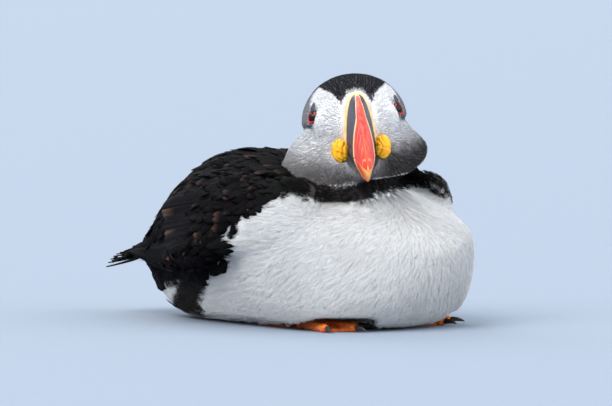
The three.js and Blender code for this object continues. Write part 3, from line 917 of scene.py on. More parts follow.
class Coat:
    """Gathers feathers of many patterns and stores them as one mesh."""

    def __init__(self, name, slot):
        self.name = name
        self.slot = slot
        self.points = []
        self.tints = []
        self.corners = []
        self.counts = []
        self.patches = []
        self.vanes = []
        self.upwards = []
        self.size = 0

    def lay(self, patterns, lines, normals, half_width, tint, tip_tint, uv, twist,
            root_shade_tone=ROOT_SHADE_TONE):
        """Lays one feather on each line; patterns are dealt out at random."""
        deal = RANDOM.integers(0, len(patterns), len(lines))
        for number, (points, corners, counts) in enumerate(patterns):
            mine = np.flatnonzero(deal == number)
            if len(mine) == 0:
                continue
            across, share, rise = points.T
            middle = along_line(lines[mine], share)
            step = along_line(lines[mine], np.minimum(share + 0.03, 1))
            step = step - along_line(lines[mine], np.maximum(share - 0.03, 0))
            upward = unit(along_line(normals[mine], share))
            self.upwards.append(upward.reshape(-1, 3))
            aside = unit(np.cross(step, upward))
            upward = unit(np.cross(aside, step))
            lean = twist[mine][:, None, None]
            aside, upward = (aside * np.cos(lean) + upward * np.sin(lean),
                             upward * np.cos(lean) - aside * np.sin(lean))
            out = across[None, :] * half_width[mine][:, None]
            high = rise[None, :] - out * out * CURL
            placed = middle + aside * out[:, :, None] + upward * high[:, :, None]
            placed[:, :, 2] = np.maximum(placed[:, :, 2], FLOOR_CLEARANCE)
            blend = np.clip(share, 0, 1)[None, :, None]
            tipped = smooth_step(TIP_START, 1.0, blend)
            # Painted shade: each feather is darker towards its root, where the feathers over it shade it.
            painted_root_shade = root_shade_tone + (1 - root_shade_tone) * smooth_step(0.0, 0.5, blend)
            colour = tint[mine][:, None, :] * (1 - tipped) + tip_tint[mine][:, None, :] * tipped
            self.points.append(placed.reshape(-1, 3))
            self.tints.append((colour * painted_root_shade).reshape(-1, 3))
            offsets = self.size + len(points) * np.arange(len(mine))[:, None]
            self.corners.append((corners[None, :] + offsets).ravel())
            self.counts.append(np.tile(counts, len(mine)))
            local = np.stack((across[corners] / 2, share[corners] - 0.5), axis=1)
            self.patches.append((uv[mine][:, None, :] + local[None] * PATCH).reshape(-1, 2))
            pair = np.stack((across[corners], share[corners]), axis=1)
            self.vanes.append(np.tile(pair, (len(mine), 1)))
            self.size += len(points) * len(mine)

    def soften(self, mesh, softness):
        """Turns the shading of the upper sides towards the skin's, as loose barbs look."""
        own = np.empty(self.size * 3)
        mesh.vertices.foreach_get("normal", own)
        own = own.reshape(-1, 3)
        upward = np.concatenate(self.upwards)
        share = ((own * upward).sum(axis=1) > 0.2)[:, None] * softness
        mesh.normals_split_custom_set_from_vertices(unit(own * (1 - share) + upward * share).tolist())

    def store(self, material, softness=0.0):
        mesh = bpy.data.meshes.new(self.name)
        corners = np.concatenate(self.corners)
        counts = np.concatenate(self.counts)
        mesh.vertices.add(self.size)
        mesh.vertices.foreach_set("co", (np.concatenate(self.points) * MM).ravel())
        mesh.loops.add(len(corners))
        mesh.loops.foreach_set("vertex_index", corners)
        mesh.polygons.add(len(counts))
        mesh.polygons.foreach_set("loop_start", np.concatenate(([0], np.cumsum(counts)[:-1])))
        mesh.update(calc_edges=True)
        mesh.polygons.foreach_set("use_smooth", np.ones(len(counts), dtype=bool))
        for layer_name, values in (("OFBake", self.patches), ("vane", self.vanes)):
            layer = mesh.uv_layers.new(name=layer_name)
            layer.data.foreach_set("uv", np.concatenate(values).ravel())
        mesh.uv_layers.active = mesh.uv_layers["OFBake"]
        mesh.uv_layers["OFBake"].active_render = True
        store_tint(mesh, np.concatenate(self.tints))
        if softness > 0:
            self.soften(mesh, softness)
        hand_over(link(self.name, mesh), material, self.slot)
        print(self.name, "feathers' triangles:", int((counts - 2).sum()))


def vary(count, amount):
    return RANDOM.uniform(1 - amount, 1 + amount, count)


def shaded(index, amount):
    """The roots' own tints, each feather a little lighter or darker."""
    return np.clip(root_tint[index] * vary(len(index), amount)[:, None], 0, 0.95)


def grow(coat, chosen, patterns, spacing, length, half_width, lifts, tone, wander=0.15, tip=None,
         root_shade_tone=ROOT_SHADE_TONE, rough=1.0, limits=(0, 1)):
    """Grows one kind of feather on the chosen roots; its colour is kept between the limits."""
    index = thinned(chosen, spacing)
    count = len(index)
    long = length * vary(count, 0.14)
    lift = [np.full(count, lifts[0]), lifts[1] * vary(count, 0.3 * rough),
            lifts[2] * vary(count, 0.5 * rough)]
    lines, normals = middle_lines(index, long, lift, RANDOM.normal(0, wander, count))
    tint = np.clip(shaded(index, tone), *limits)
    tip_tint = tint if tip is None else tip(index, tint)
    coat.lay(patterns, lines, normals, half_width * vary(count, 0.12), tint, tip_tint,
             root_uv[index], RANDOM.normal(0, 0.12 * rough, count), root_shade_tone)
    return count


def grow_coat(name, slot, material, softness, *kinds):
    """Grows one piece of the coat from pairs of chosen roots and a kind of feather."""
    coat = Coat(name, slot)
    counts = [grow(coat, chosen, **kind) for chosen, kind in kinds if chosen.any()]
    print(name, "feathers:", counts)
    coat.store(material, softness)


# %% [markdown]
# ## Feather finishes
# Soft plumes scatter light and hardly shine; a faint sheen stands for their fuzz. Vanes are
# smoother, with slanting barb lines on both sides of a pale shaft, and black ones gleam a
# little blue where light grazes them. The colour comes from the tint stored on each feather.

# %% Feather finishes
def plume_finish(name, rough, sheen, gloss, glow, barb_height):
    """The finish of soft plumes; glow is the share of light that passes through."""
    finish = Finish(name, Roughness=rough, Sheen_Weight=sheen, Sheen_Roughness=0.6,
                    Specular_IOR_Level=gloss, Subsurface_Weight=glow, Subsurface_Scale=0.0015,
                    Subsurface_Radius=(1.0, 0.95, 0.9))
    soft = finish.grain(420.0)
    fine = finish.grain(2600.0)
    colour = scale_colour(finish.attribute("tint"), 0.86 + 0.16 * soft + 0.12 * fine)
    return finish.done(colour, None, fine, barb_height, 0.5)


def vane_finish(name, rough):
    finish = Finish(name, Specular_IOR_Level=0.012, Sheen_Weight=0.001,
                    Sheen_Tint=(0.6, 0.75, 1.0, 1), Sheen_Roughness=0.35)
    across, along, _ = finish.parts(finish.node("ShaderNodeUVMap", {"uv_map": "vane"}))
    off_shaft = across.math("ABSOLUTE", across)
    slant = (along - 0.35 * off_shaft) * 190.0
    barbs = slant.math("SINE", slant) * 0.5 + 0.5
    patchy = finish.grain(260.0)
    shaft = 1 - off_shaft.above(0.05, 0.03)
    tone = 0.30 + 0.2 * barbs + 0.9 * patchy * patchy + 0.4 * shaft
    colour = scale_colour(finish.attribute("tint"), tone)
    return finish.done(colour, rough + 0.25 * patchy - 0.1 * barbs, barbs + 2.0 * shaft, 0.0001, 0.7)


white_plume = plume_finish("white_plumes", rough=0.85, sheen=0.10, gloss=0.1, glow=0.4,
                           barb_height=0.00003)
face_plume = plume_finish("face_plumes", rough=0.95, sheen=0.04, gloss=0.04, glow=0.0,
                          barb_height=0.00001)
black_plume = plume_finish("black_plumes", rough=0.7, sheen=0.004, gloss=0.03, glow=0.0,
                           barb_height=0.00005)
black_vane = vane_finish("black_vanes", 0.5)
print("feather finishes ready")

# %% [markdown]
# ## Head coat
# The smallest feathers are on the face, about three millimetres long and laid so flat that the
# head looks like velvet. They are left out where the bill, rosettes and eyes stand.

# %% Head coat
EYE_ANGLE_OUT = math.radians(58)
EYE_ANGLE_UP = math.radians(17)
EYE_TURN = math.radians(13)
SKULL_CENTRE = np.array((-0.6, 2.5, 4.0))
SKULL_RADII = np.array((23.9, 25.5, 21.4))
EYE_BARE_AHEAD = 3.0
EYE_BARE_UP = 3.4
ROSETTE_OUT = 9.3
ROSETTE_FRONT = -21.6
ROSETTE_BARE_HEIGHT = -4.6
ROSETTE_BARE_RADII = (3.4, 4.5, 4.6)


def eye_frame(hand):
    """Centre of the eye on the skull, and its outward, upward and forward directions."""
    direction = np.array((hand * math.cos(EYE_ANGLE_UP) * math.sin(EYE_ANGLE_OUT),
                          -math.cos(EYE_ANGLE_UP) * math.cos(EYE_ANGLE_OUT), math.sin(EYE_ANGLE_UP)))
    centre = direction * SKULL_RADII + SKULL_CENTRE
    out = unit((centre - SKULL_CENTRE) / SKULL_RADII ** 2)
    cosine, sine = math.cos(EYE_TURN), hand * math.sin(EYE_TURN)
    out = np.array((out[0] * cosine - out[1] * sine, out[0] * sine + out[1] * cosine, out[2]))
    up = unit(np.array((0, 0, 1.0)) - out * out[2])
    return centre, out, up, np.cross(up, out)


bare = np.zeros(len(root_point), dtype=bool)
for hand in (-1, 1):
    centre, out, up, forward = eye_frame(hand)
    gap = root_own - centre
    bare |= np.hypot((gap @ forward) / EYE_BARE_AHEAD, (gap @ up) / EYE_BARE_UP) < 1
    rosette_gap = root_own - (ROSETTE_OUT * hand, ROSETTE_FRONT, ROSETTE_BARE_HEIGHT)
    bare |= np.linalg.norm(rosette_gap / ROSETTE_BARE_RADII, axis=1) < 1
inside_bill = (np.abs(root_own[:, 0]) < 7.2) & (root_own[:, 1] < -14)
inside_bill &= (root_own[:, 2] > -12) & (root_own[:, 2] < 19.5)
bare |= inside_bill

side = np.abs(root_around)
above_rim = root_height - border_at(CHEEK_FOOT, side)
on_rim = (above_rim > -0.5) & (above_rim < 3.0) & (side < 110)
on_head = (root_head > 0.5) & ~bare & ~on_rim
cap_here = root_light < 0.12
face_roots = on_head & ~cap_here
cap_roots = on_head & cap_here


def tip_colour(index, tint):
    """The markings at the feather's tip, so that each border falls where the tips end."""
    tips = markings(root_point[index] + 2.4 * root_lie[index], np.ones(len(index)))
    rim = (above_rim > 0) & (above_rim < 5.5) & (side > 10) & (side < 100)
    return np.clip(np.where(rim[index][:, None], WHITE, tips), 0, 0.95)


last_row = face_roots & (above_rim < 4.2) & (side > 10) & (side < 100)
root_tint[last_row] = WHITE

FACE_KIND = dict(patterns=FACE_PLUMES, spacing=0.66, length=3.0, half_width=0.62,
                 lifts=(-0.1, 0.2, 0.12), wander=0.08, tone=0.03, root_shade_tone=0.92, rough=0.5,
                 tip=tip_colour)
CAP_KIND = dict(patterns=FACE_PLUMES, spacing=0.85, length=3.2, half_width=0.7,
                lifts=(-0.1, 0.4, 0.3), wander=0.08, tone=0.12, rough=0.5, limits=(0, 0.1))
grow_coat("coat_face", "grey_plumage", face_plume, 0.4, (face_roots, FACE_KIND))
grow_coat("coat_cap", "black_plumage", black_plume, 0.0, (cap_roots, CAP_KIND))

# %% [markdown]
# ## Collar, breast and belly
# Below the head the feathers lengthen quickly. The collar is short and dense, and the breast is
# a deep soft coat of white plumes, twelve millimetres long. Where the wing folds against the
# neck the skin dips, so short plumes are added there.

# %% Collar and breast
FOLD_PLACES = ((-44.5, -36, 58.5), (40.4, -34.3, 60.1))
FOLD_REACH = 9
UNDERSIDE = 4
BREAST_BACK = -42
SIDE_BACK = -5

on_body = root_head <= 0.5
x, y, z = root_point.T
wing_here = (root_part == WING_LEFT) | (root_part == WING_RIGHT)
dark_here = root_light < 0.2
flank_here = (y > 26) & (y < 66) & (z < 24) & ~wing_here
collar_roots = on_body & dark_here & (y < -8) & (~wing_here | (y < -28))
white_roots = on_body & (~dark_here | flank_here) & (root_part != TAIL)
flank_dark = dark_here & flank_here
fold = np.zeros(len(root_point), dtype=bool)
for place in FOLD_PLACES:
    fold |= np.linalg.norm(root_point - place, axis=1) < FOLD_REACH

COLLAR_KIND = dict(patterns=COLLAR_PLUMES, spacing=1.6, length=6.0, half_width=1.5,
                   lifts=(-0.2, 0.9, 0.9), wander=0.15, tone=0.2, rough=0.6, limits=(0, 0.008))
COLLAR_FOLD_KIND = dict(patterns=COLLAR_PLUMES, spacing=1.2, length=4.5, half_width=1.3,
                        lifts=(-0.1, 0.8, 0.7), tone=0.2, limits=(0, 0.008))
BREAST_KIND = dict(patterns=BREAST_PLUMES, spacing=1.65, length=12.0, half_width=1.9,
                   lifts=(-0.3, 0.75, 0.5), wander=0.06, tone=0.02, root_shade_tone=0.97, rough=0.25,
                   limits=(0.62, 0.95))
BREAST_FOLD_KIND = dict(BREAST_KIND, spacing=1.2, length=4.5, half_width=1.3,
                        lifts=(-0.2, 0.8, 0.7), wander=0.15)
BELLY_KIND = dict(patterns=COLLAR_PLUMES, spacing=3.2, length=9.0, half_width=2.6,
                  lifts=(-0.2, 0.5, 0.4), wander=0.18, tone=0.05, root_shade_tone=0.85)
FLANK_KIND = dict(patterns=BREAST_PLUMES, spacing=1.9, length=10.0, half_width=2.2,
                  lifts=(-0.3, 1.0, 0.9), tone=0.3, rough=0.5, limits=(0, 0.02))

grow_coat("coat_collar", "black_plumage", black_plume, 0.0, (collar_roots, COLLAR_KIND),
          (collar_roots & fold, COLLAR_FOLD_KIND))
under = z < UNDERSIDE
for part, stretch in (("breast", y < BREAST_BACK), ("side", (y >= BREAST_BACK) & (y < SIDE_BACK)),
                      ("belly", y >= SIDE_BACK)):
    for hand, half in (("right", x < 0), ("left", x >= 0)):
        chosen = white_roots & stretch & half
        grow_coat("coat_" + part + "_" + hand, "white_plumage", white_plume, 0.5,
                  (chosen & ~under & ~flank_dark, BREAST_KIND), (chosen & under, BELLY_KIND),
                  (chosen & fold, BREAST_FOLD_KIND))
grow_coat("coat_flank", "black_plumage", black_plume, 0.0,
          (white_roots & flank_dark & (z >= UNDERSIDE), FLANK_KIND))

# %% [markdown]
# ## Back and wing coverts
# The back and the front of the folded wings carry rounded black vanes that overlap like roof
# tiles. Some have faded to brown at the tip, and a few stand a little off the outline.

# %% Back and wings
def brown_tips(index, tint):
    worn = lumps(root_point[index], 7.0, 21.0) + RANDOM.normal(0, 0.12, len(index))
    worn = smooth_step(0.3, 0.6, worn)
    worn = (worn * smooth_step(-30, 10, root_point[index, 1]))[:, None] * 0.8
    return tint * (1 - worn) + WORN_BROWN * worn


back_roots = on_body & dark_here & ~collar_roots & ~flank_here & (root_part != TAIL)
COVERT_LINE = -4
SHORT_COVERTS = dict(patterns=BACK_VANES, spacing=2.5, length=9.0, half_width=2.4,
                     lifts=(-0.2, 0.7, 0.8), wander=0.2, tone=0.25, tip=brown_tips, limits=(0, 0.008))
LONG_COVERTS = dict(SHORT_COVERTS, spacing=3.2, length=13.0, half_width=3.1, lifts=(-0.2, 0.9, 1.3))
lapped = (("coat_back", ~wing_here), ("coat_wing_right", root_part == WING_RIGHT),
          ("coat_wing_left", root_part == WING_LEFT))
for name, here in lapped:
    chosen = back_roots & here
    grow_coat(name, "black_plumage", black_vane, 0.0, (chosen & (y < COVERT_LINE), SHORT_COVERTS),
              (chosen & (y >= COVERT_LINE), LONG_COVERTS))

# %% [markdown]
# ## Long feathers of the wing
# On the folded wing the coverts give way to long vanes: secondaries that run along the middle
# of the wing, and primaries stacked like a closed fan, whose tips reach back over the tail's
# root. They are few, so each gets a line of its own, pressed on the skin at nine stations.

# %% Wing quills
WING_X = np.array([(-42, 43.5), (-25, 47.5), (-5, 50), (15, 49), (35, 43), (55, 32), (70, 22),
                   (84, 14), (98, 8)], dtype=float)
WING_Z = np.array([(-42, 57), (-25, 55), (-5, 50.5), (15, 47.5), (35, 45), (55, 43), (70, 38),
                   (80, 32.5), (98, 27.5)], dtype=float)
WING_HALF = np.array([(-42, 10), (-25, 12.5), (-5, 17), (15, 20.5), (35, 22), (55, 20.5), (70, 13),
                      (80, 7), (98, 4)], dtype=float)
WING_CLEARANCE = 6
LINE_STATIONS = 9


def wing_place(hand, back, level):
    """A point just outside the wing at a distance back and a level from -1 (lower rim) to 1."""
    wide = border_at(WING_X, back) + WING_CLEARANCE
    high = border_at(WING_Z, back) + level * border_at(WING_HALF, back)
    return np.stack((hand * wide, back, high), axis=-1)


def nearest_root_uv(points):
    """The unwrap place of the root candidate nearest to each point."""
    some = np.arange(0, len(root_point), 5)
    places = []
    for p in points:
        gap = root_point[some] - p
        places.append(root_uv[some[np.argmin((gap * gap).sum(axis=1))]])
    return np.array(places)


def quill_lines(starts, ends, root_lift, tip_lifts):
    """Lines of feathers from start to end points, pressed on the skin and then evened out."""
    share = np.linspace(0, 1, LINE_STATIONS)
    pressed = [press_on_skin(start + (end - start) * share[:, None], root_lift + (high - root_lift) * share)
               for start, end, high in zip(starts, ends, tip_lifts)]
    lines = np.array([line for line, _ in pressed])
    normals = np.array([normal for _, normal in pressed])
    for _ in range(2):
        lines[:, 1:-1] = (lines[:, :-2] + 2 * lines[:, 1:-1] + lines[:, 2:]) / 4
        normals[:, 1:-1] = unit(normals[:, :-2] + 2 * normals[:, 1:-1] + normals[:, 2:])
    return lines, normals


def lay_quills(coat, starts, ends, half_width, root_lift, tip_lifts, tint, tip_tint):
    count = len(starts)
    lines, normals = quill_lines(starts, ends, root_lift, tip_lifts)
    coat.lay(LONG_VANES, lines, normals, np.full(count, half_width), tint, tip_tint,
             nearest_root_uv(starts), np.zeros(count))


PRIMARIES = 9
SECONDARIES = 12
PRIMARY_HALF_WIDTH = 4.6
SECONDARY_HALF_WIDTH = 5.4
WING_TIP_LOWEST = 22.5
for hand, name in ((-1, "right"), (1, "left")):
    coat = Coat("quills_" + name, "black_plumage")
    step = np.linspace(0, 1, PRIMARIES)
    starts = wing_place(hand, 22 + 22 * step, -0.72 + 0.5 * step)
    ends = wing_place(hand, 99 - 34 * step ** 1.3, -0.35 - 0.5 * step)
    ends[:, 2] = np.maximum(ends[:, 2], WING_TIP_LOWEST)
    tint = BACK_BLACK * 0.9 * vary(PRIMARIES, 0.2)[:, None]
    lay_quills(coat, starts, ends, PRIMARY_HALF_WIDTH, 0.3, 2.2 - 1.2 * step, tint, tint + 0.008)
    step = np.linspace(0, 1, SECONDARIES)
    starts = wing_place(hand, 12 + 12 * step, -0.55 + 1.15 * step)
    ends = wing_place(hand, 50 + 16 * step, -0.75 + 1.5 * step)
    tint = BACK_BLACK * vary(SECONDARIES, 0.25)[:, None]
    faded = (RANDOM.random(SECONDARIES) > 0.7)[:, None]
    tip = np.where(faded, WORN_BROWN * 0.7, tint)
    tip_lifts = 2.0 * vary(SECONDARIES, 0.2)
    lay_quills(coat, starts, ends, SECONDARY_HALF_WIDTH, 0.6, tip_lifts, tint, tip)
    coat.store(black_vane)

# %% [markdown]
# ## Tail
# The short tail is a fan of stiff black feathers, one above another from the middle pair
# outwards, with softer coverts over its root and a white bed of plumes below.

# %% Tail
TAIL_FEATHERS = 14
TAIL_HALF_WIDTH = 4.2
TAIL_COVERTS = dict(SHORT_COVERTS, spacing=3.0, length=12.0, half_width=3.0,
                    lifts=(-0.1, 0.9, 1.2), wander=0.15)
UNDER_TAIL_KIND = dict(patterns=BREAST_PLUMES, spacing=2.0, length=8.0, half_width=1.8,
                       lifts=(-0.2, 0.6, 0.4), tone=0.05, root_shade_tone=0.9, rough=0.4, limits=(0.5, 0.95))

coat = Coat("tail_feathers", "black_plumage")
spot = np.linspace(-1, 1, TAIL_FEATHERS)
starts = np.stack((8 * spot, np.full(TAIL_FEATHERS, 76.0), 37.5 - 1.2 * spot ** 2), axis=1)
ends = np.stack((17.5 * spot, 117 - 5.0 * spot ** 2, 26.2 - 5.5 * spot ** 2), axis=1)
share = np.linspace(0, 1, LINE_STATIONS)[None, :, None]
lines = starts[:, None] * (1 - share) + ends[:, None] * share
lines[:, :, 2] += 0.5 * (1 - np.abs(spot))[:, None] - 2.0 * np.sin(np.pi * share[:, :, 0])
normals = np.zeros_like(lines) + unit(np.array((0, 0.35, 1.0)))
normals[:, :, 0] += 0.25 * spot[:, None]
tint = BACK_BLACK * vary(TAIL_FEATHERS, 0.2)[:, None]
coat.lay(LONG_VANES, lines, unit(normals), np.full(TAIL_FEATHERS, TAIL_HALF_WIDTH), tint,
         tint + 0.01, nearest_root_uv(starts), 0.18 * spot)
tail_top = (root_part == TAIL) & (root_normal[:, 2] > 0.1) & (y < 100)
tail_low = (root_part == TAIL) & (root_normal[:, 2] < -0.1) & (y < 98)
print("tail coverts:", grow(coat, tail_top, **TAIL_COVERTS))
coat.store(black_vane)
grow_coat("coat_under_tail", "white_plumage", white_plume, 0.0, (tail_low, UNDER_TAIL_KIND))

# %% [markdown]
# ## Bill
# The bill is a deep, narrow wedge of horn in coloured plates. Its outline is told by four
# curves from the base (0) to the tip (1): the ridge, the mouth line, the lower edge and the
# half width. A grid of points is wrapped round each half along these curves and sewn closed.
# The plates' ridges and grooves follow one leaning line, which the material also reads from a
# value stored on each point, so that paint and relief fall in the same place.

# %% The bill's curves
BILL_BASE = -20.0
BILL_LENGTH = 39.0
HALF_WIDTH_BASE = 6.8
HALF_WIDTH_TIP = 1.3
RIDGE_HEIGHT = 20.3
MOUTH_HEIGHT = -4
MOUTH_FALL = 2.4


def mouth_line(a):
    return MOUTH_HEIGHT - MOUTH_FALL * (0.55 * a + 0.45 * a ** 6)


BILL_TIP_HEIGHT = mouth_line(1.0) - 0.6


def ridge_line(a):
    return BILL_TIP_HEIGHT + (RIDGE_HEIGHT - BILL_TIP_HEIGHT) * max(0.0, 1 - a ** 1.9) ** 0.645


def lower_line(a):
    return float(np.interp(a, (0, 0.15, 0.3, 0.45, 0.6, 0.72, 0.85, 0.93, 1),
                           (-14.4, -14.7, -14.8, -14.6, -14.1, -13.4, -12.2, -10.4, -7.8)))


def half_width(a):
    return HALF_WIDTH_TIP + (HALF_WIDTH_BASE - HALF_WIDTH_TIP) * max(0.0, 1 - a) ** 0.9


PLATE_LEVELS = (0.0, 0.28, 0.6, 0.8, 0.89, 0.945, 0.985, 1.0)
PLATE_SHARES = (0.50, 0.50, 0.535, 0.56, 0.545, 0.46, 0.34, 0.10)


def plate_line(level):
    """Where along the bill the slate plate ends, at a level from the mouth (0) to the ridge (1)."""
    return float(np.interp(level, PLATE_LEVELS, PLATE_SHARES))


AROUND_TOP = 0.8


def loop_place(u, dip=0.0):
    """Level and place across (-1 to 1) of a step u round one half of the bill.

    Up to AROUND_TOP it goes over from side to side, and then it runs back, sagging by the dip.
    """
    if u <= AROUND_TOP:
        angle = math.pi * u / AROUND_TOP
        cosine = math.cos(angle)
        return math.sin(angle) ** 1.25, math.copysign(abs(cosine) ** 0.8, cosine)
    back = (u - AROUND_TOP) / (1 - AROUND_TOP)
    return -dip * math.sin(math.pi * back), -1 + 2 * back


def wrapped_grid(name, around, along, place, slot, material, replaced):
    """A grid whose long way runs along the bill and whose short way is wrapped round it."""
    bm = bmesh.new()
    bmesh.ops.create_grid(bm, x_segments=around, y_segments=along, size=1.0)
    layer = bm.verts.layers.float_vector.new("bill")
    for v in bm.verts:
        point, v[layer] = place((v.co.x + 1) / 2, (v.co.y + 1) / 2)
        v.co = Vector(from_head(np.array(point))) * MM
    bmesh.ops.remove_doubles(bm, verts=bm.verts, dist=0.000002)
    bmesh.ops.holes_fill(bm, edges=[e for e in bm.edges if e.is_boundary])
    new_piece(name, bm, material, slot, replaced)


# %% [markdown]
# ## Horn finish
# Horn is hard and softly polished, with fine growth streaks along its length; their lighter pink
# is partly painted highlight. The upper bill is slate blue behind a thin straw line and red
# before it, and its grooves are paler.

# %% Horn finish
def horn_finish(name, red, tip_tone):
    finish = Finish(name, Specular_IOR_Level=0.5)
    beyond, level, share = finish.parts(finish.attribute("bill", "Vector"))
    streak = finish.grain(1.0, 4.0, finish.stretched(finish.place, (900, 900, 60)))
    cloud, slate = finish.cloudy(190.0, 0.2, srgb(18, 20, 32), srgb(44, 50, 72))
    # Lighter pink streaks: partly growth streaks of the horn, partly painted highlight.
    horn = blend_colours(streak.above(0.52, 0.16), red, srgb(240, 88, 66))
    horn = blend_colours(cloud.above(0.56, 0.12) * 0.45, horn, srgb(206, 52, 84))
    horn = blend_colours(share.above(0.86, 0.2) * 0.8, horn, tip_tone)
    # A wave of 4 mm that is highest in the grooves, which start 3.4 mm beyond the slate plate.
    wave = beyond * 1.5708 - 3.77
    grooves = wave.math("SINE", wave).above(0.9, 0.12)
    grooves = grooves * beyond.above(2.0, 0.5) * (1 - level.above(0.86, 0.06))
    horn = blend_colours(grooves * 0.75, horn, srgb(252, 176, 128))
    line = blend_colours(beyond.above(-2.3, 0.15), slate, srgb(240, 196, 140))
    whole = blend_colours(beyond.above(0.0, 0.15), line, horn)
    whole = blend_colours((share.above(0.988, 0.006)) * 0.8, whole, srgb(244, 214, 140))
    rough = 0.30 + 0.22 * cloud + 0.08 * streak
    return finish.done(whole, rough, streak + 0.4 * finish.grain(1500.0), 0.0003, 0.5)


upper_horn = horn_finish("upper_horn", srgb(214, 34, 20), srgb(228, 66, 18))
lower_horn = horn_finish("lower_horn", srgb(226, 68, 12), srgb(246, 190, 96))

# %% Upper bill
UPPER_START = 0.02
UPPER_END = 0.997
GROOVE_PLACES = (3.4, 7.4, 11.4)
GROOVE_DEPTH = 0.42
LINE_RISE = 0.30


def relief(beyond, level, share):
    """How far the horn stands out of its smooth form, in mm."""
    rise = LINE_RISE * math.exp(-((beyond + 1.2) / 1.0) ** 2)
    rise -= 0.22 * (1 - smooth_step(-3.0, -2.0, beyond)) * smooth_step(1.0, 0.8, level)
    fade = smooth_step(0.97, 0.8, level)
    for place in GROOVE_PLACES:
        rise -= GROOVE_DEPTH * fade * math.exp(-((beyond - place) / 0.55) ** 2)
    return float(rise * smooth_step(1.0, 0.93, share))


def upper_place(u, a):
    share = UPPER_START + (UPPER_END - UPPER_START) * (1 - (1 - a) ** 1.25)
    edge = mouth_line(share)
    rise = ridge_line(share) - edge
    level, across = loop_place(u, 0.012)
    beyond = (share - plate_line(max(level, 0.0))) * BILL_LENGTH
    out = relief(beyond, level, share) if level >= 0 else 0.0
    # The nostril is a long slit just above the mouth.
    slit = math.exp(-((level - 0.13) / 0.022) ** 2) * math.exp(-(((share - 0.27) / 0.07) ** 4))
    out -= 0.9 * slit
    pinch = smooth_step(1.0, 0.90, share) ** 0.5
    reach = (half_width(share) * pinch + out) * across
    high = edge + rise * level + (out if level > 0.9 else 0.0)
    closing = 0.0 if a >= 1 else 1.0
    point = (reach * closing, BILL_BASE - BILL_LENGTH * share, edge + (high - edge) * closing)
    return point, (beyond, max(level, 0.0), share)


wrapped_grid("bill_upper_horn", 72, 110, upper_place, "red_horn", upper_horn, "bill_upper")


# %% Lower bill
def lower_place(u, a):
    share = 0.955 * (1 - (1 - a) ** 1.25)
    edge = mouth_line(share) - 0.3
    drop = edge - lower_line(share)
    level, across = loop_place(u)
    beyond = (share - (0.50 + 0.04 * level)) * BILL_LENGTH
    out = relief(beyond, level * 0.9, share) if level > 0 else 0.0
    keel = 1 - 0.55 * level ** 1.5
    reach = (half_width(share) * 0.97 * keel + out) * across
    closing = 0.0 if a >= 1 else 1.0
    point = (reach * closing, BILL_BASE - BILL_LENGTH * share, edge - drop * level * closing)
    return point, (beyond, level, share)


wrapped_grid("bill_lower_horn", 64, 90, lower_place, "orange_horn", lower_horn, "bill_lower")

# %% [markdown]
# ## Cream border
# A raised, leathery strip of pale skin frames the base of the upper bill. It is the same wrap,
# grown by 0.7 mm and rounded, and pitted with pores like orange peel.

# %% Cream border
BORDER_DEPTH = 2.4
BORDER_PROUD = 0.7
BORDER_LEAD = 1.0
BORDER_STRETCH = 1.3


def border_place(u, a):
    share = a * BORDER_DEPTH / BILL_LENGTH
    edge = mouth_line(share)
    rise = ridge_line(share) - edge
    swell = BORDER_PROUD * math.sin(math.pi * min(1, 0.25 + 0.75 * a)) ** 0.5
    swell *= 1 + 0.10 * noise.noise(Vector((u * 40, a * 5, 0)))
    level, across = loop_place(u)
    reach = (half_width(share) + swell) * across
    high = edge + (rise + swell) * level
    return (reach, BILL_BASE + BORDER_LEAD - BILL_LENGTH * share * BORDER_STRETCH, high), (a, level, share)


finish = Finish("cream_leather", Specular_IOR_Level=0.4, Subsurface_Weight=0.15,
                Subsurface_Scale=0.001)
pits = finish.node("ShaderNodeTexVoronoi", inputs={"Vector": finish.place, "Scale": 1500.0})
cloud, cream = finish.cloudy(300.0, 0.2, srgb(236, 190, 124), srgb(249, 218, 166))
cream = blend_colours(1 - pits.above(0.25, 0.2), cream, srgb(214, 164, 96))
cream_leather = finish.done(cream, 0.48 + 0.2 * cloud, pits, 0.0003, 0.6)
wrapped_grid("bill_cream_border", 120, 14, border_place, "cream_border", cream_leather, "bill_border")

# %% [markdown]
# ## Rosettes
# At each corner of the mouth sits a rosette, a soft yellow fold of skin that is wrinkled from
# top to bottom. A ball is scaled to its size and its surface is pulled in along the wrinkles.

# %% Rosettes
ROSETTE_RADII = (3.9, 2.9, 5.3)
ROSETTE_HEIGHT = -3.8
ROSETTE_TURN = 32


def rosette(hand, side_name, material):
    bm = bmesh.new()
    bmesh.ops.create_uvsphere(bm, u_segments=72, v_segments=48, radius=1.0)
    folds = bm.verts.layers.float_vector.new("fold")
    turn = Matrix.Rotation(math.radians(ROSETTE_TURN * hand), 3, "Z")
    middle = Vector((ROSETTE_OUT * hand, ROSETTE_FRONT, ROSETTE_HEIGHT))
    for v in bm.verts:
        p = v.co.copy()
        bend = 0.35 * p.z * p.z * hand
        wave = math.sin((p.x + bend) * 5.0 + 1.6 * noise.noise(p * 1.7 + Vector((hand * 3, 0, 0))))
        crease = 1 - abs(wave) ** 0.4
        knob = noise.noise(p * 3.1 + Vector((0, 5, hand)))
        split = math.exp(-((p.z + 0.05 + 0.3 * p.x) / 0.10) ** 2) * 0.5
        v.co = p * (1 - 0.24 * crease - 0.16 * split + 0.09 * knob)
        v[folds] = (max(crease, split), knob, 0)
        own = turn @ Vector([along * radius for along, radius in zip(v.co, ROSETTE_RADII)])
        v.co = Vector(from_head(np.array(own + middle))) * MM
    new_piece("rosette_fold_" + side_name, bm, material, "yellow_rosette", "rosette_" + side_name)


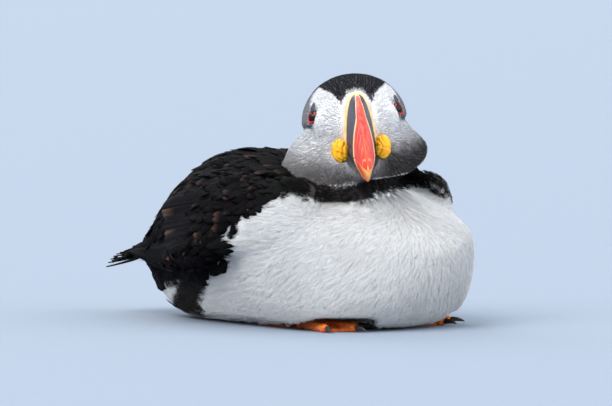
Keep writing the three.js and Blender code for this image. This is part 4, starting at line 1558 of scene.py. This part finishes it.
finish = Finish("rosette_skin", Specular_IOR_Level=0.45, Subsurface_Weight=0.12,
                Subsurface_Scale=0.001)
fold_shade = finish.parts(finish.attribute("fold", "Vector"))[0]
cloud, yellow = finish.cloudy(420.0, 0.2, srgb(242, 158, 8), srgb(255, 200, 24))
# Darker orange in the creases of the wrinkles is painted shade.
yellow = blend_colours(fold_shade.above(0.6, 0.3) * 0.85, yellow, srgb(222, 100, 8))
rosette_skin = finish.done(yellow, 0.38 + 0.25 * cloud, finish.grain(2600.0) + cloud, 0.0004, 0.5)
rosette(-1, "right", rosette_skin)
rosette(1, "left", rosette_skin)

# %% [markdown]
# ## Eyes
# The eye is a dark brown ball with a black pupil under a clear, wet surface, sunk in the head.
# A wrinkled red ring is its lid edge, and two slate-blue horny plates sit above and below it.

# %% Eyes
EYE_RADIUS = 3.0
EYE_SUNK = 2.2
RING_RADIUS = 2.35
RING_THICKNESS = 0.42
UPPER_PLATE_RADII = (2.0, 0.8, 2.3)
UPPER_PLATE_HEIGHT = 4.0
LOWER_PLATE_RADII = (2.3, 0.8, 0.9)
LOWER_PLATE_HEIGHT = -3.9


def eye_matrix(hand):
    """From the eye's frame (x ahead, y out, z up, in mm) to the bird's frame in metres."""
    centre, out, up, forward = eye_frame(hand)
    axes = [from_head(direction) - HEAD_MM for direction in (forward, out, up)]
    matrix = Matrix.Identity(4)
    for column, values in enumerate(axes + [from_head(centre)]):
        for row in range(3):
            matrix[row][column] = values[row] * MM
    return matrix


def eye_piece(name, bm, matrix, material, slot, replaced):
    """Puts a piece made in the eye's frame in its place on the head."""
    bm.transform(matrix)
    bmesh.ops.remove_doubles(bm, verts=bm.verts, dist=0.000001)
    new_piece(name, bm, material, slot, replaced)


def eye_finish(name, centre, outward):
    finish = Finish(name, Roughness=0.2, Specular_IOR_Level=0.12, Coat_Weight=0.16, Coat_Roughness=0.04)
    away = finish.node("ShaderNodeVectorMath", {"operation": "SUBTRACT"}, {0: finish.place, 1: centre})
    direction = finish.node("ShaderNodeVectorMath", {"operation": "NORMALIZE"}, {0: away})
    facing = finish.node("ShaderNodeVectorMath", {"operation": "DOT_PRODUCT"},
                         {0: direction, 1: outward}, "Value")
    flecks = finish.grain(1.0, 3.0, finish.stretched(away, (2600, 2600, 900)))
    iris = blend_colours(flecks, srgb(14, 9, 9), srgb(40, 25, 19))
    iris = blend_colours(facing.above(0.93, 0.012), iris, srgb(5, 5, 6))
    return finish.done(iris, None, flecks, 0.00005, 0.2)


finish = Finish("red_lid_edge", Specular_IOR_Level=0.5)
cloud, red = finish.cloudy(1300.0, 0.2, srgb(150, 22, 10), srgb(206, 52, 22))
lid_finish = finish.done(red, 0.35 + 0.3 * cloud, cloud, 0.0003, 0.7)
finish = Finish("slate_plate_horn", Specular_IOR_Level=0.45)
cloud, slate = finish.cloudy(900.0, 0.25, srgb(20, 26, 36), srgb(52, 66, 84))
plate_finish = finish.done(slate, 0.35 + 0.3 * cloud, cloud, 0.0003, 0.6)

for hand, side_name in ((-1, "right"), (1, "left")):
    matrix = eye_matrix(hand)
    bm = bmesh.new()
    bmesh.ops.create_uvsphere(bm, u_segments=56, v_segments=36, radius=EYE_RADIUS)
    for v in bm.verts:
        facing = v.co.y / EYE_RADIUS
        v.co *= 1 + 0.06 * float(smooth_step(0.80, 0.96, facing))
        v.co.y -= EYE_SUNK
    centre = matrix @ Vector((0, -EYE_SUNK, 0))
    outward = (matrix.to_3x3() @ Vector((0, 1, 0))).normalized()
    ball = eye_finish("eye_" + side_name + "_wet", centre, outward)
    eye_piece("eyeball_" + side_name, bm, matrix, ball, "dark_eye", "eye_" + side_name)

    bm = bmesh.new()
    bmesh.ops.create_circle(bm, segments=14, radius=RING_THICKNESS)
    for v in bm.verts:
        v.co = Vector((v.co.x + RING_RADIUS, v.co.y * 0.9, 0))
    bmesh.ops.spin(bm, geom=bm.verts[:] + bm.edges[:], cent=(0, 0, 0), axis=(0, 1, 0),
                   angle=math.tau, steps=72, use_merge=True)
    for v in bm.verts:
        angle = math.atan2(v.co.z, v.co.x)
        wrinkle = 1 + 0.035 * math.sin(angle * 23) + 0.02 * math.sin(angle * 41)
        tall = 1 + 0.14 * math.cos(2 * angle - math.pi)
        v.co.x *= wrinkle * (1 / tall) ** 0.6
        v.co.z *= wrinkle * tall
        ahead = -hand * v.co.x
        v.co.y += 0.05 - 0.5 * max(0.0, ahead)
    eye_piece("lid_ring_" + side_name, bm, matrix, lid_finish, "red_eye_ring", "eye_ring_" + side_name)

    bm = bmesh.new()
    bmesh.ops.create_uvsphere(bm, u_segments=32, v_segments=24, radius=1.0)
    for v in bm.verts:
        taper = 1 - 0.75 * smooth_step(-1, 1, v.co.z)
        wide, thick, tall = UPPER_PLATE_RADII
        v.co = Vector((v.co.x * wide * taper, v.co.y * thick, v.co.z * tall + UPPER_PLATE_HEIGHT))
    eye_piece("plate_above_" + side_name, bm, matrix, plate_finish, "slate_plate",
                 "eye_plate_upper_" + side_name)

    bm = bmesh.new()
    bmesh.ops.create_uvsphere(bm, u_segments=32, v_segments=20, radius=1.0)
    for v in bm.verts:
        wide, thick, tall = LOWER_PLATE_RADII
        curve = 0.12 * v.co.x ** 2
        v.co = Vector((v.co.x * wide, v.co.y * thick - 0.1, v.co.z * tall + LOWER_PLATE_HEIGHT + curve))
    eye_piece("plate_below_" + side_name, bm, matrix, plate_finish, "slate_plate",
                 "eye_plate_lower_" + side_name)
print("eyes: 2")

# %% [markdown]
# ## Feet
# The orange feet are webbed and scaly. Leg and foot are one growth, so copies of both solids
# are joined in fine voxels and smoothed; raised scales follow from small cells in the surface.

# %% Feet
FOOT_SWELL = 0.18
FOOT_VOXEL = 0.42
CLAW_SWELL = 0.05
CLAW_VOXEL = 0.22
SCALE_SIZE = 1.1
SCALE_RISE = 0.16
SCALE_GAP = 0.24
finish = Finish("scaly_foot", Specular_IOR_Level=0.45)
cells = finish.node("ShaderNodeTexVoronoi", {"feature": "DISTANCE_TO_EDGE"},
                    {"Vector": finish.place, "Scale": 800.0})
cloud, orange = finish.cloudy(260.0, 0.2, srgb(226, 92, 20), srgb(248, 138, 48))
orange = blend_colours(1 - cells.above(0.06, 0.05), orange, srgb(168, 58, 14))
foot_finish = finish.done(orange, 0.40 + 0.25 * cloud, cells.above(0.10, 0.10), 0.0003, 0.8)
for side_name in ("left", "right"):
    limb = ("leg_" + side_name, "foot_" + side_name)
    foot = voxel_skin("webbed_foot_" + side_name, limb, FOOT_SWELL, FOOT_VOXEL, 3)
    points, normals = mesh_arrays(foot.data)
    scale_rise = np.array([noise.voronoi(Vector(p / SCALE_SIZE))[0][0] for p in points])
    points = points + normals * (SCALE_RISE - SCALE_GAP * smooth_step(0.2, 0.7, scale_rise))[:, None]
    points[:, 2] = np.maximum(points[:, 2], 0.0)
    moved_points(foot.data, points)
    hand_over(foot, foot_finish, "orange_foot", *limb)
    print("foot faces:", len(foot.data.polygons))

# %% Claws
finish = Finish("claw_horn", Specular_IOR_Level=0.55)
streak = finish.grain(1.0, 3.0, finish.stretched(finish.place, (700, 160, 700)))
black = blend_colours(streak, srgb(14, 12, 12), srgb(52, 44, 40))
claw_finish = finish.done(black, 0.25 + 0.3 * streak, streak, 0.0002, 0.5)
for side_name in ("left", "right"):
    for toe in ("inner", "middle", "outer"):
        node = "claw_" + toe + "_" + side_name
        claw = voxel_skin(node + "_horn", (node,), CLAW_SWELL, CLAW_VOXEL, 2)
        hand_over(claw, claw_finish, "black_claw", node)
print("claws: 6")
